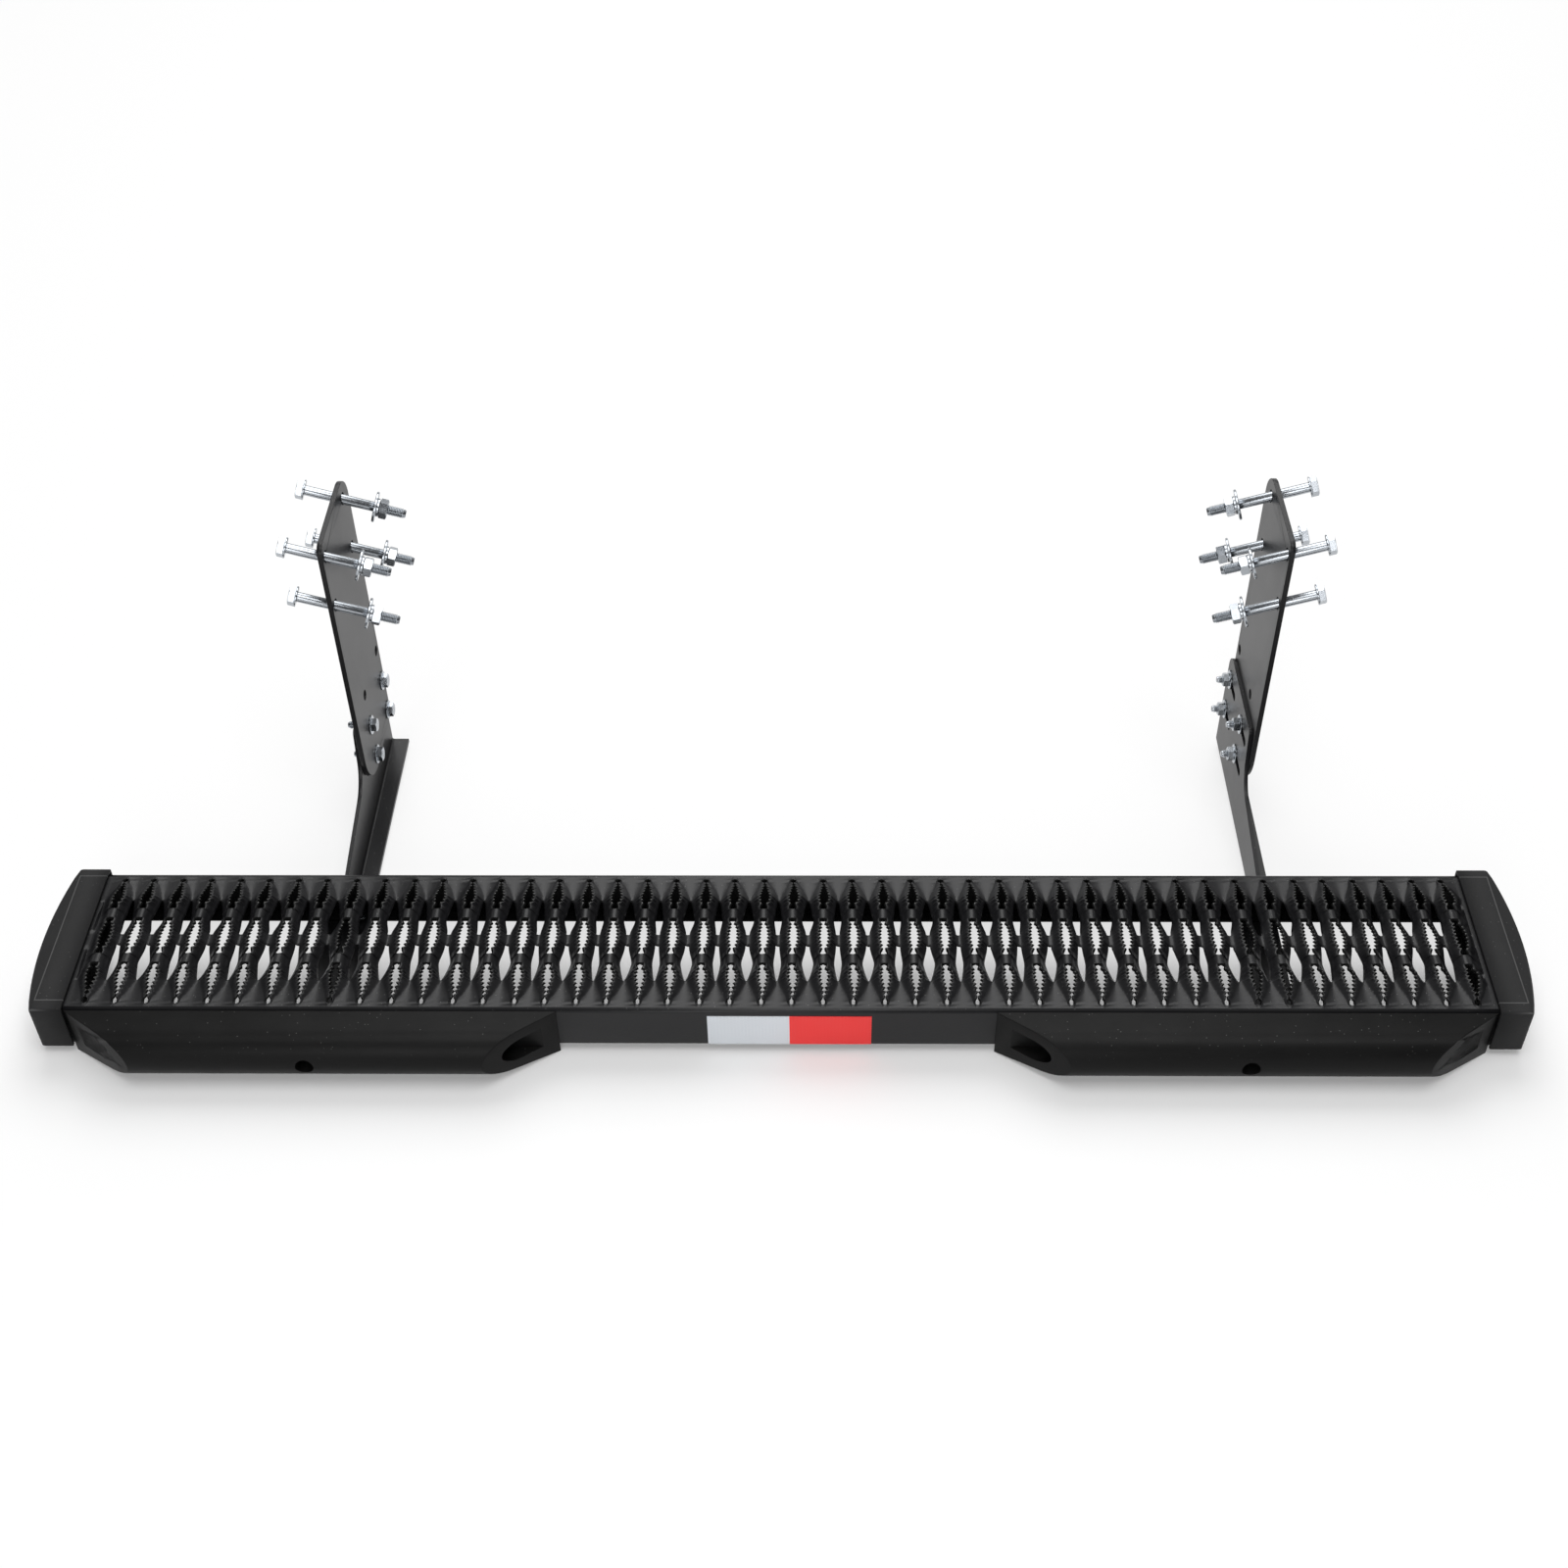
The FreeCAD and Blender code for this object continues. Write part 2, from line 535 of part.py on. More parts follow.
def frame_plate(x):
    """Flat plate beside the arm's web with its three groups of holes."""
    corners = [(PLATE_FRONT, PLATE_BOTTOM, PLATE_BOTTOM_FRONT_RADIUS),
               (PLATE_BACK, PLATE_BOTTOM, PLATE_BOTTOM_BACK_RADIUS),
               (PLATE_BACK, PLATE_TOP, PLATE_TOP_BACK_RADIUS),
               (PLATE_FRONT, PLATE_TOP, PLATE_TOP_FRONT_RADIUS)]
    start = x + ARM_SHEET
    plate = plate_in_yz(corners, start, PLATE_SHEET)
    vacant_z = SLOT_BOLT_LOW + 2 * SLOT_BOLT_PITCH_Z
    holes = [(y, z, M8_HOLE) for y, z in slot_bolt_places()]
    holes += [(y, vacant_z, VACANT_HOLE) for y in (SLOT_BOLT_FRONT, SLOT_BOLT_BACK)]
    holes += [(y, z, FRAME_BOLT_HOLE) for y, z in frame_bolt_places()]
    for y, z, diameter in holes:
        plate = plate.cut(cylinder(diameter, Vector(start, y, z), Vector(1, 0, 0), PLATE_SHEET))
    return plate


def slot_fasteners(x):
    """Short bolts with heads on the plate's side and nuts on the web's side."""
    grip = PLATE_SHEET + ARM_SHEET
    head_face = x + grip + M8_WASHER_SHEET
    length = grip + 2 * M8_WASHER_SHEET + M8_NUT + SLOT_BOLT_TAIL
    pieces = {
        "slot_bolts": bolt(M8_SHANK, length, M8_FLATS, M8_HEAD),
        "slot_head_washers": washer(M8_SHANK, M8_WIDE_WASHER, M8_WASHER_SHEET, 0),
        "slot_nut_washers": washer(M8_SHANK, M8_WIDE_WASHER, M8_WASHER_SHEET, M8_WASHER_SHEET + grip),
        "slot_nuts": nut(M8_SHANK, M8_FLATS, M8_NUT, 2 * M8_WASHER_SHEET + grip),
    }
    return {name: [placed(piece, Vector(head_face, y, z), -1) for y, z in slot_bolt_places()]
            for name, piece in pieces.items()}


def frame_fasteners(x, outward):
    """Long bolts that droop in the plate's holes, head outwards, with washers and nut on the far end."""
    spring_at = FRAME_WASHER_AT + M10_FLAT_SHEET
    nut_at = spring_at + M10_SPRING_SHEET
    shank = bolt(M10_SHANK, M10_BOLT_LENGTH, M10_FLATS, M10_HEAD)
    shank.translate(Vector(FRAME_BOLT_HEAD_AT, 0, 0))
    pieces = {
        "frame_bolts": shank,
        "frame_head_washers": washer(M10_SHANK, M10_HEAD_WASHER, M8_WASHER_SHEET, FRAME_BOLT_HEAD_AT),
        "frame_flat_washers": washer(M10_SHANK, M10_FLAT_WASHER, M10_FLAT_SHEET, FRAME_WASHER_AT),
        "frame_spring_washers": spring_washer(M10_SHANK, M10_SPRING_WASHER, M10_SPRING_SHEET, spring_at),
        "frame_nuts": nut(M10_SHANK, M10_FLATS, M10_NUT, nut_at),
    }
    middle = x + ARM_SHEET + PLATE_SHEET / 2
    places = [Vector(middle, y, z) for y, z in frame_bolt_places()]
    return {name: [placed(piece, place, -outward, FRAME_BOLT_DROOP) for place in places]
            for name, piece in pieces.items()}


def pad_fasteners():
    """Bolt behind each access hole, through the pad's back wall and the front flange."""
    grip = PAD_BACK_WALL + SHEET
    length = grip + 2 * M8_WASHER_SHEET + M8_NUT + PAD_BOLT_TAIL
    pieces = {
        "pad_bolts": bolt(M8_SHANK, length, M8_FLATS, M8_HEAD),
        "pad_head_washers": washer(M8_SHANK, M8_WASHER, M8_WASHER_SHEET, 0),
        "pad_nut_washers": washer(M8_SHANK, M8_WASHER, M8_WASHER_SHEET, M8_WASHER_SHEET + grip),
        "pad_nuts": nut(M8_SHANK, M8_FLATS, M8_NUT, 2 * M8_WASHER_SHEET + grip),
    }
    head_y = -FACE_Y - PAD_BACK_WALL - M8_WASHER_SHEET
    places = [Vector(side * PAD_MIDDLE_X, head_y, PAD_NOSE_Z) for side in (-1, 1)]
    return {name: [placed(piece, place, "back") for place in places] for name, piece in pieces.items()}


def foot_fasteners():
    """Bolts up through each foot and the plank's return lips, with washers and nuts inside the channel."""
    grip = ARM_SHEET + SHEET
    length = grip + M8_WASHER_SHEET + M8_NUT + FOOT_BOLT_TAIL
    pieces = {
        "foot_bolts": bolt(M8_SHANK, length, M8_FLATS, FOOT_BOLT_HEAD),
        "foot_washers": washer(M8_SHANK, M8_WASHER, M8_WASHER_SHEET, grip),
        "foot_nuts": nut(M8_SHANK, M8_FLATS, M8_NUT, grip + M8_WASHER_SHEET),
    }
    places = [Vector(x + FOOT_BOLT_SIDE, end * LIP_BOLT_Y, ARM_BOTTOM)
              for x in SIDES.values() for end in (-1, 1)]
    return {name: [placed(piece, place, "up") for place in places] for name, piece in pieces.items()}


def build():
    """Make every piece and write one file for each node."""
    os.makedirs("parts", exist_ok=True)
    save("tread_plank", [tread_plank()])
    save("silver_tape", [tape(TAPE_CENTRE - TAPE_LENGTH)])
    save("red_tape", [tape(TAPE_CENTRE)])
    for name, x in SIDES.items():
        outward = OUTWARD[name]
        save(name + "_end_cap", [end_cap(outward)])
        save(name + "_bumper_pad", [bumper_pad(outward)])
        save(name + "_arm", [arm(x)])
        save(name + "_frame_plate", [frame_plate(x)])
        groups = {**slot_fasteners(x), **frame_fasteners(x, outward)}
        for group, solids in groups.items():
            save(name + "_" + group, solids)
    for group, solids in {**pad_fasteners(), **foot_fasteners()}.items():
        save(group, solids)


build()
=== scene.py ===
"""Looks for the rear bumper step: dressed pieces, finishes, studio light and camera in the part's frame.

Pieces are drawn in millimetres in the plank's own frame (X along the tread, Y to the vehicle, Z up,
origin at the middle of the tread's flat margin) and moved to the part's frame when they are finished.
"""
import logging
import math
from dataclasses import dataclass, field, replace
from enum import Enum

import bmesh
import bpy
from mathutils import Matrix, Vector

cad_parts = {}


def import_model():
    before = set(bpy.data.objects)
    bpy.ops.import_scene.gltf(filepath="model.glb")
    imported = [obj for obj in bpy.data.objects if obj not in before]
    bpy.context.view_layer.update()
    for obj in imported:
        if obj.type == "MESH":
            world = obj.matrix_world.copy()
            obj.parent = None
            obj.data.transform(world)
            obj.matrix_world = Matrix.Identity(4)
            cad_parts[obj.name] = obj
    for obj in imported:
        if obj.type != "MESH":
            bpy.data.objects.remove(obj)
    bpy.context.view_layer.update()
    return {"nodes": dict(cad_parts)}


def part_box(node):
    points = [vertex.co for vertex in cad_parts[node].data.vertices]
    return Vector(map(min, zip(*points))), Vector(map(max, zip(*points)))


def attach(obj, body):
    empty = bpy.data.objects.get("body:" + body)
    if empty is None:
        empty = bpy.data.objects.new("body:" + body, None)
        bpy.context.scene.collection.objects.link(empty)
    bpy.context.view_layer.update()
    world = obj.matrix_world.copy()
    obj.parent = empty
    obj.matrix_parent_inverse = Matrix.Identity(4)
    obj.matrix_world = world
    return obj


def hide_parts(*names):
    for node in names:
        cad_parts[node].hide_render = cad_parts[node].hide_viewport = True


LOG = logging.getLogger("rear_step")
MM = 0.001
PLANK_HEIGHT = 49.0
SMOOTH_LIMIT = math.radians(32.0)
WELD_GAP = 1e-6
BEVEL_LIMIT = math.radians(40.0)
SOFT_EDGE = 0.0005
NEAR = 0.01

Point2 = tuple[float, float]
Point3 = tuple[float, float, float]
Colour = Point3
Mesh = bmesh.types.BMesh
Edges = list[bmesh.types.BMEdge]
Socket = bpy.types.NodeSocket


class Body(Enum):
    """Rigid bodies that a piece can ride on."""

    STEP = "step"
    LEFT_PLATE = "left_plate"
    RIGHT_PLATE = "right_plate"


class Side(Enum):
    """Ends of the step; the value is the sign of X that points outwards."""

    LEFT = -1
    RIGHT = 1

    @property
    def label(self) -> str:
        """Prefix that this side's nodes carry."""
        return self.name.lower()

    @property
    def plate(self) -> Body:
        """Body of this side's frame plate."""
        return Body.LEFT_PLATE if self is Side.LEFT else Body.RIGHT_PLATE

    @property
    def web_x(self) -> float:
        """X of the web of this side's arm."""
        return -431.0 if self is Side.LEFT else 469.0


class Slot(Enum):
    """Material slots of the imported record."""

    COAT = "powder_coat"
    CAP = "cap_plastic"
    PAD = "pad_rubber"
    SILVER = "silver_tape"
    RED = "red_tape"
    ZINC = "zinc"


class Sheet:
    """Node tree with short calls for adding and linking nodes."""

    def __init__(self, tree: bpy.types.NodeTree) -> None:
        """Keep the tree that the calls work on."""
        self.tree = tree

    def add(self, kind: str, **values: object) -> bpy.types.Node:
        """Add a node.

        Args:
            kind: Node type's identifier without its ShaderNode prefix.
            values: Attributes to set on the node.

        Returns:
            The new node.
        """
        prefix = "" if kind.startswith("NodeGroup") else "ShaderNode"
        node = self.tree.nodes.new(prefix + kind)
        for name, value in values.items():
            setattr(node, name, value)
        return node

    def link(self, source: Socket, target: Socket) -> None:
        """Join two sockets."""
        self.tree.links.new(source, target)

    def feed(self, node: bpy.types.Node, inputs: dict[str | int, object]) -> bpy.types.Node:
        """Link or set a node's inputs.

        Args:
            node: The node.
            inputs: Socket to link or value to set, by the input's name or number.

        Returns:
            The same node.
        """
        for label, value in inputs.items():
            if isinstance(value, Socket):
                self.link(value, node.inputs[label])
            else:
                node.inputs[label].default_value = value
        return node

    def blend(self, factor: Socket, first: object, second: object, kind: str = "RGBA") -> Socket:
        """Add a Mix node.

        Args:
            factor: Share of the second input.
            first: Socket or value of the first input.
            second: Socket or value of the second input.
            kind: Kind of data that is mixed.

        Returns:
            The node's result.
        """
        node = self.add("Mix", data_type=kind)
        return self.feed(node, {"Factor": factor, "A": first, "B": second}).outputs["Result"]

    def ramp(self, value: Socket, limits: tuple[float, ...], shape: str = "LINEAR") -> Socket:
        """Add a Map Range node.

        Args:
            value: Value to map.
            limits: From Min and From Max, then To Min and To Max unless they are 0 and 1.
            shape: Name of the interpolation.

        Returns:
            The node's result.
        """
        node = self.add("MapRange", interpolation_type=shape)
        labels = ("Value", "From Min", "From Max", "To Min", "To Max")
        return self.feed(node, dict(zip(labels, (value, *limits)))).outputs["Result"]

    def axis(self, vector: Socket, label: str) -> Socket:
        """One coordinate of a vector."""
        return self.feed(self.add("SeparateXYZ"), {0: vector}).outputs[label]

    def math(self, operation: str, first: object, second: object = 0.0, clamp: bool = False) -> Socket:
        """Add a Math node.

        Args:
            operation: Name of the operation.
            first: Socket or number for the first input.
            second: Socket or number for the second input.
            clamp: Whether the result is held between 0 and 1.

        Returns:
            The node's result.
        """
        node = self.add("Math", operation=operation, use_clamp=clamp)
        return self.feed(node, {0: first, 1: second}).outputs[0]


def new_group(name: str, inputs: dict[str, tuple[str, object]], outputs: dict[str, str]) -> Sheet:
    """Start a shader node group.

    Args:
        name: The group's name.
        inputs: Socket kind and default value by name, in order.
        outputs: Socket kind by name, in order.

    Returns:
        The group's sheet, with its input node named "in" and its output node named "out".
    """
    tree = bpy.data.node_groups.new(name, "ShaderNodeTree")
    for label, (kind, default) in inputs.items():
        socket = tree.interface.new_socket(label, in_out="INPUT", socket_type=kind)
        if default is not None:
            socket.default_value = default
    for label, kind in outputs.items():
        tree.interface.new_socket(label, in_out="OUTPUT", socket_type=kind)
    sheet = Sheet(tree)
    sheet.add("NodeGroupInput").name = "in"
    sheet.add("NodeGroupOutput").name = "out"
    return sheet


class Effect(Enum):
    """Surface effects that several finishes share, each a node group built once."""

    GRAIN = "surface_grain"
    DRIFT = "tone_drift"
    DUST = "settled_dust"

    def tree(self) -> bpy.types.NodeTree:
        """The effect's node group, built when it is first asked for."""
        found = bpy.data.node_groups.get(self.value)
        builders = {Effect.GRAIN: self._grain, Effect.DRIFT: self._drift, Effect.DUST: self._dust}
        return found or builders[self]().tree

    @staticmethod
    def _grain() -> Sheet:
        """Fine bumps over coarser ones.

        Returns:
            Group with Vector, Fine, Coarse and Share inputs and a Height output.
        """
        sheet = new_group(Effect.GRAIN.value,
                          {"Vector": ("NodeSocketVector", None), "Fine": ("NodeSocketFloat", 900.0),
                           "Coarse": ("NodeSocketFloat", 220.0), "Share": ("NodeSocketFloat", 0.6)},
                          {"Height": "NodeSocketFloat"})
        start, end = sheet.tree.nodes["in"], sheet.tree.nodes["out"]
        heights = []
        for label in ("Fine", "Coarse"):
            noise = sheet.add("TexNoise", noise_dimensions="3D")
            sheet.feed(noise, {"Detail": 2.0, "Vector": start.outputs["Vector"],
                               "Scale": start.outputs[label]})
            heights.append(noise.outputs["Fac"])
        total = sheet.blend(start.outputs["Share"], heights[1], heights[0], "FLOAT")
        sheet.feed(end, {"Height": total})
        return sheet

    @staticmethod
    def _drift() -> Sheet:
        """Slow changes of tone across a surface.

        Returns:
            Group with Vector, Colour, Scale and Amount inputs and Colour and Mask outputs.
        """
        sheet = new_group(Effect.DRIFT.value,
                          {"Vector": ("NodeSocketVector", None), "Colour": ("NodeSocketColor", (1, 1, 1, 1)),
                           "Scale": ("NodeSocketFloat", 9.0), "Amount": ("NodeSocketFloat", 0.2)},
                          {"Colour": "NodeSocketColor", "Mask": "NodeSocketFloat"})
        start, end = sheet.tree.nodes["in"], sheet.tree.nodes["out"]
        noise = sheet.add("TexNoise", noise_dimensions="3D")
        sheet.feed(noise, {"Detail": 4.0, "Roughness": 0.6, "Vector": start.outputs["Vector"],
                           "Scale": start.outputs["Scale"]})
        swing = sheet.math("MULTIPLY", sheet.math("SUBTRACT", noise.outputs["Fac"], 0.5), 2.0)
        gain = sheet.math("ADD", sheet.math("MULTIPLY", swing, start.outputs["Amount"]), 1.0)
        scaled = sheet.add("VectorMath", operation="SCALE")
        sheet.feed(scaled, {0: start.outputs["Colour"], "Scale": gain})
        sheet.feed(end, {"Colour": scaled.outputs["Vector"], "Mask": noise.outputs["Fac"]})
        return sheet

    @staticmethod
    def _dust() -> Sheet:
        """Pale specks and a light film on faces that look up.

        Returns:
            Group with Vector, Film and Specks inputs and a Mask output.
        """
        sheet = new_group(Effect.DUST.value,
                          {"Vector": ("NodeSocketVector", None), "Film": ("NodeSocketFloat", 0.1),
                           "Specks": ("NodeSocketFloat", 0.2)},
                          {"Mask": "NodeSocketFloat"})
        start, end = sheet.tree.nodes["in"], sheet.tree.nodes["out"]
        height = sheet.axis(sheet.add("NewGeometry").outputs["Normal"], "Z")
        upward = sheet.math("POWER", sheet.math("MAXIMUM", height, 0.0), 2.0)
        place = start.outputs["Vector"]
        cloud = sheet.add("TexNoise", noise_dimensions="3D")
        sheet.feed(cloud, {"Scale": 35.0, "Detail": 5.0, "Vector": place})
        specks = sheet.add("TexVoronoi", voronoi_dimensions="3D", feature="F1")
        sheet.feed(specks, {"Scale": 170.0, "Vector": place})
        dots = sheet.math("LESS_THAN", specks.outputs["Distance"], 0.09)
        film = sheet.math("MULTIPLY", cloud.outputs["Fac"], start.outputs["Film"])
        marks = sheet.math("MULTIPLY", dots, start.outputs["Specks"])
        total = sheet.math("MULTIPLY", sheet.math("ADD", film, marks), upward, clamp=True)
        sheet.feed(end, {"Mask": total})
        return sheet


@dataclass(frozen=True)
class Finish:
    """Look of one material slot: colour, gloss and the shared effects' strengths.

    Args:
        slot: The record's slot.
        colour: Linear base colour.
        roughness: Middle roughness.
        rough_swing: How far roughness follows the tone drift.
        metallic: Metallic share.
        drift: Strength of the tone drift.
        drift_scale: Scale of the tone drift per metre.
        grain: Fine and coarse grain scales per metre.
        grain_share: Share of the fine grain.
        bump: Bump distance in metres.
        stretch: Scale of the grain along X, Y and Z.
        film: Strength of the dust film.
        specks: Strength of the dust specks.
        dust_colour: Linear colour of the dust.
        specular: Level of the plain reflection.
        worn_colour: Linear colour of the painted highlights on edges, which an attribute of the mesh marks,
            or None.
        name: Name of the material.
    """

    slot: Slot
    colour: Colour
    roughness: float
    rough_swing: float = 0.1
    metallic: float = 0.0
    drift: float = 0.15
    drift_scale: float = 9.0
    grain: Point2 = (900.0, 220.0)
    grain_share: float = 0.6
    bump: float = 0.0001
    stretch: Point3 = (1.0, 1.0, 1.0)
    film: float = 0.0
    specks: float = 0.0
    dust_colour: Colour = (0.35, 0.35, 0.34)
    specular: float = 0.5
    worn_colour: Colour | None = None
    name: str = ""

    def material(self) -> bpy.types.Material:
        """The finish's material, built when it is first asked for."""
        return bpy.data.materials.get(self.name or self.slot.value + "_finish") or self._build()

    def _build(self) -> bpy.types.Material:
        """Build the material's nodes.

        Returns:
            The new material.
        """
        material = bpy.data.materials.new(self.name or self.slot.value + "_finish")
        material.use_nodes = True
        material.node_tree.nodes.clear()
        sheet = Sheet(material.node_tree)
        shader = sheet.add("BsdfPrincipled")
        output = sheet.add("OutputMaterial")
        sheet.link(shader.outputs["BSDF"], output.inputs["Surface"])
        sheet.feed(shader, {"Metallic": self.metallic, "Specular IOR Level": self.specular})
        place = sheet.add("TexCoord").outputs["Object"]
        base, mask = self._tone(sheet, place)
        # Painted highlights along the edges that the mesh marks.
        if self.worn_colour is not None:
            base = self._painted_highlight(sheet, base)
        swing = sheet.math("MULTIPLY", sheet.math("SUBTRACT", mask, 0.5), 2.0 * self.rough_swing)
        rough = sheet.math("ADD", swing, self.roughness, clamp=True)
        sheet.feed(shader, {"Base Color": base, "Roughness": rough, "Normal": self._bumps(sheet, place)})
        return material

    def _tone(self, sheet: Sheet, place: Socket) -> tuple[Socket, Socket]:
        """Drifting base colour under dust.

        Args:
            sheet: The material's nodes.
            place: Object coordinates.

        Returns:
            The colour and the drift's mask.
        """
        drift = sheet.add("Group", node_tree=Effect.DRIFT.tree())
        sheet.feed(drift, {"Vector": place, "Colour": self._ground(sheet, place), "Scale": self.drift_scale,
                           "Amount": self.drift})
        if not self.film + self.specks:
            return drift.outputs["Colour"], drift.outputs["Mask"]
        dust = sheet.add("Group", node_tree=Effect.DUST.tree())
        sheet.feed(dust, {"Vector": place, "Film": self.film, "Specks": self.specks})
        dusty = sheet.blend(dust.outputs["Mask"], drift.outputs["Colour"], (*self.dust_colour, 1.0))
        return dusty, drift.outputs["Mask"]

    def _painted_highlight(self, sheet: Sheet, base: Socket) -> Socket:
        """Painted highlights: paler colour along the edges that the mesh marks.

        Args:
            sheet: The material's nodes.
            base: Colour of the surface without its painted highlights.

        Returns:
            The colour with its painted highlights.
        """
        mark = sheet.add("Attribute", attribute_name="worn").outputs["Fac"]
        return sheet.blend(sheet.math("POWER", mark, 3.0), base, (*self.worn_colour, 1.0))

    def _ground(self, sheet: Sheet, place: Socket) -> Socket | tuple[float, ...]:
        """Colour under the drift.

        Args:
            sheet: The material's nodes.
            place: Object coordinates.

        Returns:
            The colour, as a value or a socket.
        """
        return (*self.colour, 1.0)

    def _bumps(self, sheet: Sheet, place: Socket) -> Socket:
        """Grain as a bumped normal.

        Args:
            sheet: The material's nodes.
            place: Object coordinates.

        Returns:
            The normal.
        """
        mapping = sheet.feed(sheet.add("Mapping"), {"Scale": self.stretch, "Vector": place})
        fine, coarse = self.grain
        grain = sheet.add("Group", node_tree=Effect.GRAIN.tree())
        sheet.feed(grain, {"Vector": mapping.outputs["Vector"], "Fine": fine, "Coarse": coarse,
                           "Share": self.grain_share})
        bump = sheet.add("Bump")
        sheet.feed(bump, {"Strength": 1.0, "Distance": self.bump, "Height": grain.outputs["Height"]})
        return bump.outputs["Normal"]


@dataclass(frozen=True)
class TapeFinish(Finish):
    """Reflective film: small six-sided cells between paler walls.

    Args:
        wall_colour: Linear colour of the cell walls.
        cell: Pitch of the cells in metres.
        wall_run: Wave sums between which a wall rises.
    """

    wall_colour: Colour = (0.8, 0.8, 0.8)
    cell: float = 0.0032
    wall_run: Point2 = (-0.75, -1.25)

    def _ground(self, sheet: Sheet, place: Socket) -> Socket:
        """Cell pattern under the drift.

        Args:
            sheet: The material's nodes.
            place: Object coordinates.

        Returns:
            The pattern's colour.
        """
        waves = None
        step = 2 * math.pi / self.cell
        for turn in (0.0, 60.0, 120.0):
            angle = math.radians(turn)
            across = sheet.add("VectorMath", operation="DOT_PRODUCT")
            sheet.feed(across, {0: place, 1: (step * math.cos(angle), 0.0, step * math.sin(angle))})
            wave = sheet.math("COSINE", across.outputs["Value"])
            waves = wave if waves is None else sheet.math("ADD", waves, wave)
        wall = sheet.ramp(waves, self.wall_run)
        return sheet.blend(wall, (*self.colour, 1.0), (*self.wall_colour, 1.0))


COAT = Finish(Slot.COAT, (0.007, 0.007, 0.008), 0.36, rough_swing=0.08, drift=0.25, drift_scale=7.0,
              grain=(1500.0, 420.0), grain_share=0.45, bump=0.00010, film=0.02, specks=0.2, specular=0.3)
# Painted shade: a darker, duller coat on the tread sheet's inner faces and cut walls, standing in for the
# shade inside the channel and in the slots.
SHADED_UNDERSIDE = replace(COAT, colour=(0.004, 0.004, 0.004), roughness=0.7, specular=0.1, film=0.0, specks=0.0,
                    name="powder_coat_underside_painted_shade")
# The tread's finish paints pale highlights on the tips of the slots' teeth.
TREAD = replace(COAT, worn_colour=(0.22, 0.22, 0.21), name="powder_coat_tread_finish")
# The cap's finish paints pale highlight lines along the creases and rims of its top.
CAP = Finish(Slot.CAP, (0.006, 0.006, 0.0065), 0.7, rough_swing=0.08, drift=0.15, grain=(2600.0, 900.0),
             grain_share=0.7, bump=0.00014, film=0.02, specks=0.15, specular=0.36,
             worn_colour=(0.07, 0.07, 0.07))
PAD = Finish(Slot.PAD, (0.005, 0.005, 0.005), 0.44, rough_swing=0.12, drift=0.3, drift_scale=14.0,
             grain=(1400.0, 500.0), grain_share=0.5, bump=0.00012, stretch=(0.12, 1.0, 1.0), film=0.02,
             specks=0.2, specular=0.12)
ZINC = Finish(Slot.ZINC, (0.42, 0.445, 0.475), 0.24, rough_swing=0.1, metallic=1.0, drift=0.1,
              drift_scale=160.0, grain=(2600.0, 700.0), grain_share=0.5, bump=0.00004)
SILVER = TapeFinish(Slot.SILVER, (0.66, 0.70, 0.745), 0.35, rough_swing=0.05, drift=0.06,
                    grain=(1200.0, 300.0), bump=0.00002, wall_colour=(0.78, 0.81, 0.84), specular=0.4)
RED = TapeFinish(Slot.RED, (0.88, 0.030, 0.032), 0.35, rough_swing=0.05, drift=0.06,
                 grain=(1200.0, 300.0), bump=0.00002, wall_colour=(0.90, 0.07, 0.06), specular=0.3)


def part_frame() -> Matrix:
    """Matrix from the plank's frame in millimetres to the part's frame in metres.

    Returns:
        The matrix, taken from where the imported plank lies.
    """
    low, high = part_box("tread_plank")
    origin = Vector((0.0, (low.y + high.y) / 2, low.z + PLANK_HEIGHT * MM))
    return Matrix.Translation(origin) @ Matrix.Scale(MM, 4)


def finish_piece(name: str, bm: Mesh, body: Body, finish: Finish, nodes: tuple[str, ...],
                 limit: float = SMOOTH_LIMIT) -> bpy.types.Object:
    """Turn a drawn mesh into a piece of the part.

    Args:
        name: The piece's name.
        bm: Mesh in the plank's frame; it is freed.
        body: Body that it rides on.
        finish: Its finish.
        nodes: CAD nodes that it stands for.
        limit: Edges sharper than this angle stay sharp.

    Returns:
        The finished object.
    """
    bm.transform(part_frame())
    mesh = bpy.data.meshes.new(name)
    bm.to_mesh(mesh)
    bm.free()
    mesh.shade_smooth()
    mesh.set_sharp_from_angle(angle=limit)
    piece = bpy.data.objects.new(name, mesh)
    bpy.context.scene.collection.objects.link(piece)
    mesh.materials.append(finish.material())
    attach(piece, body.value)
    if nodes:
        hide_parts(*nodes)
    LOG.info("%s: %d faces on %s", name, len(mesh.polygons), body.value)
    return piece


def dress_node(node: bpy.types.Object, finish: Finish, edge: float = 0.0) -> None:
    """Give a CAD node its finish and softened edges.

    Args:
        node: The CAD object.
        finish: Its finish.
        edge: Width of the softened edges in metres, or 0 for none.
    """
    node.data.materials.clear()
    node.data.materials.append(finish.material())
    if edge:
        weld = node.modifiers.new("weld", "WELD")
        weld.merge_threshold = WELD_GAP
        bevel = node.modifiers.new("soft_edges", "BEVEL")
        bevel.limit_method = "ANGLE"
        bevel.angle_limit = BEVEL_LIMIT
        bevel.width = edge
        bevel.segments = 2
        bevel.harden_normals = True
    LOG.info("%s: dressed with %s", node.name, finish.slot.value)


def verts_of(geometry: list) -> list[bmesh.types.BMVert]:
    """Vertices among an operator's results."""
    return [item for item in geometry if isinstance(item, bmesh.types.BMVert)]


def edges_of(geometry: list) -> Edges:
    """Edges among an operator's results."""
    return [item for item in geometry if isinstance(item, bmesh.types.BMEdge)]


def smoothstep(low: float, high: float, value: float) -> float:
    """Smooth rise from 0 at low to 1 at high."""
    share = min(1.0, max(0.0, (value - low) / (high - low)))
    return share * share * (3.0 - 2.0 * share)


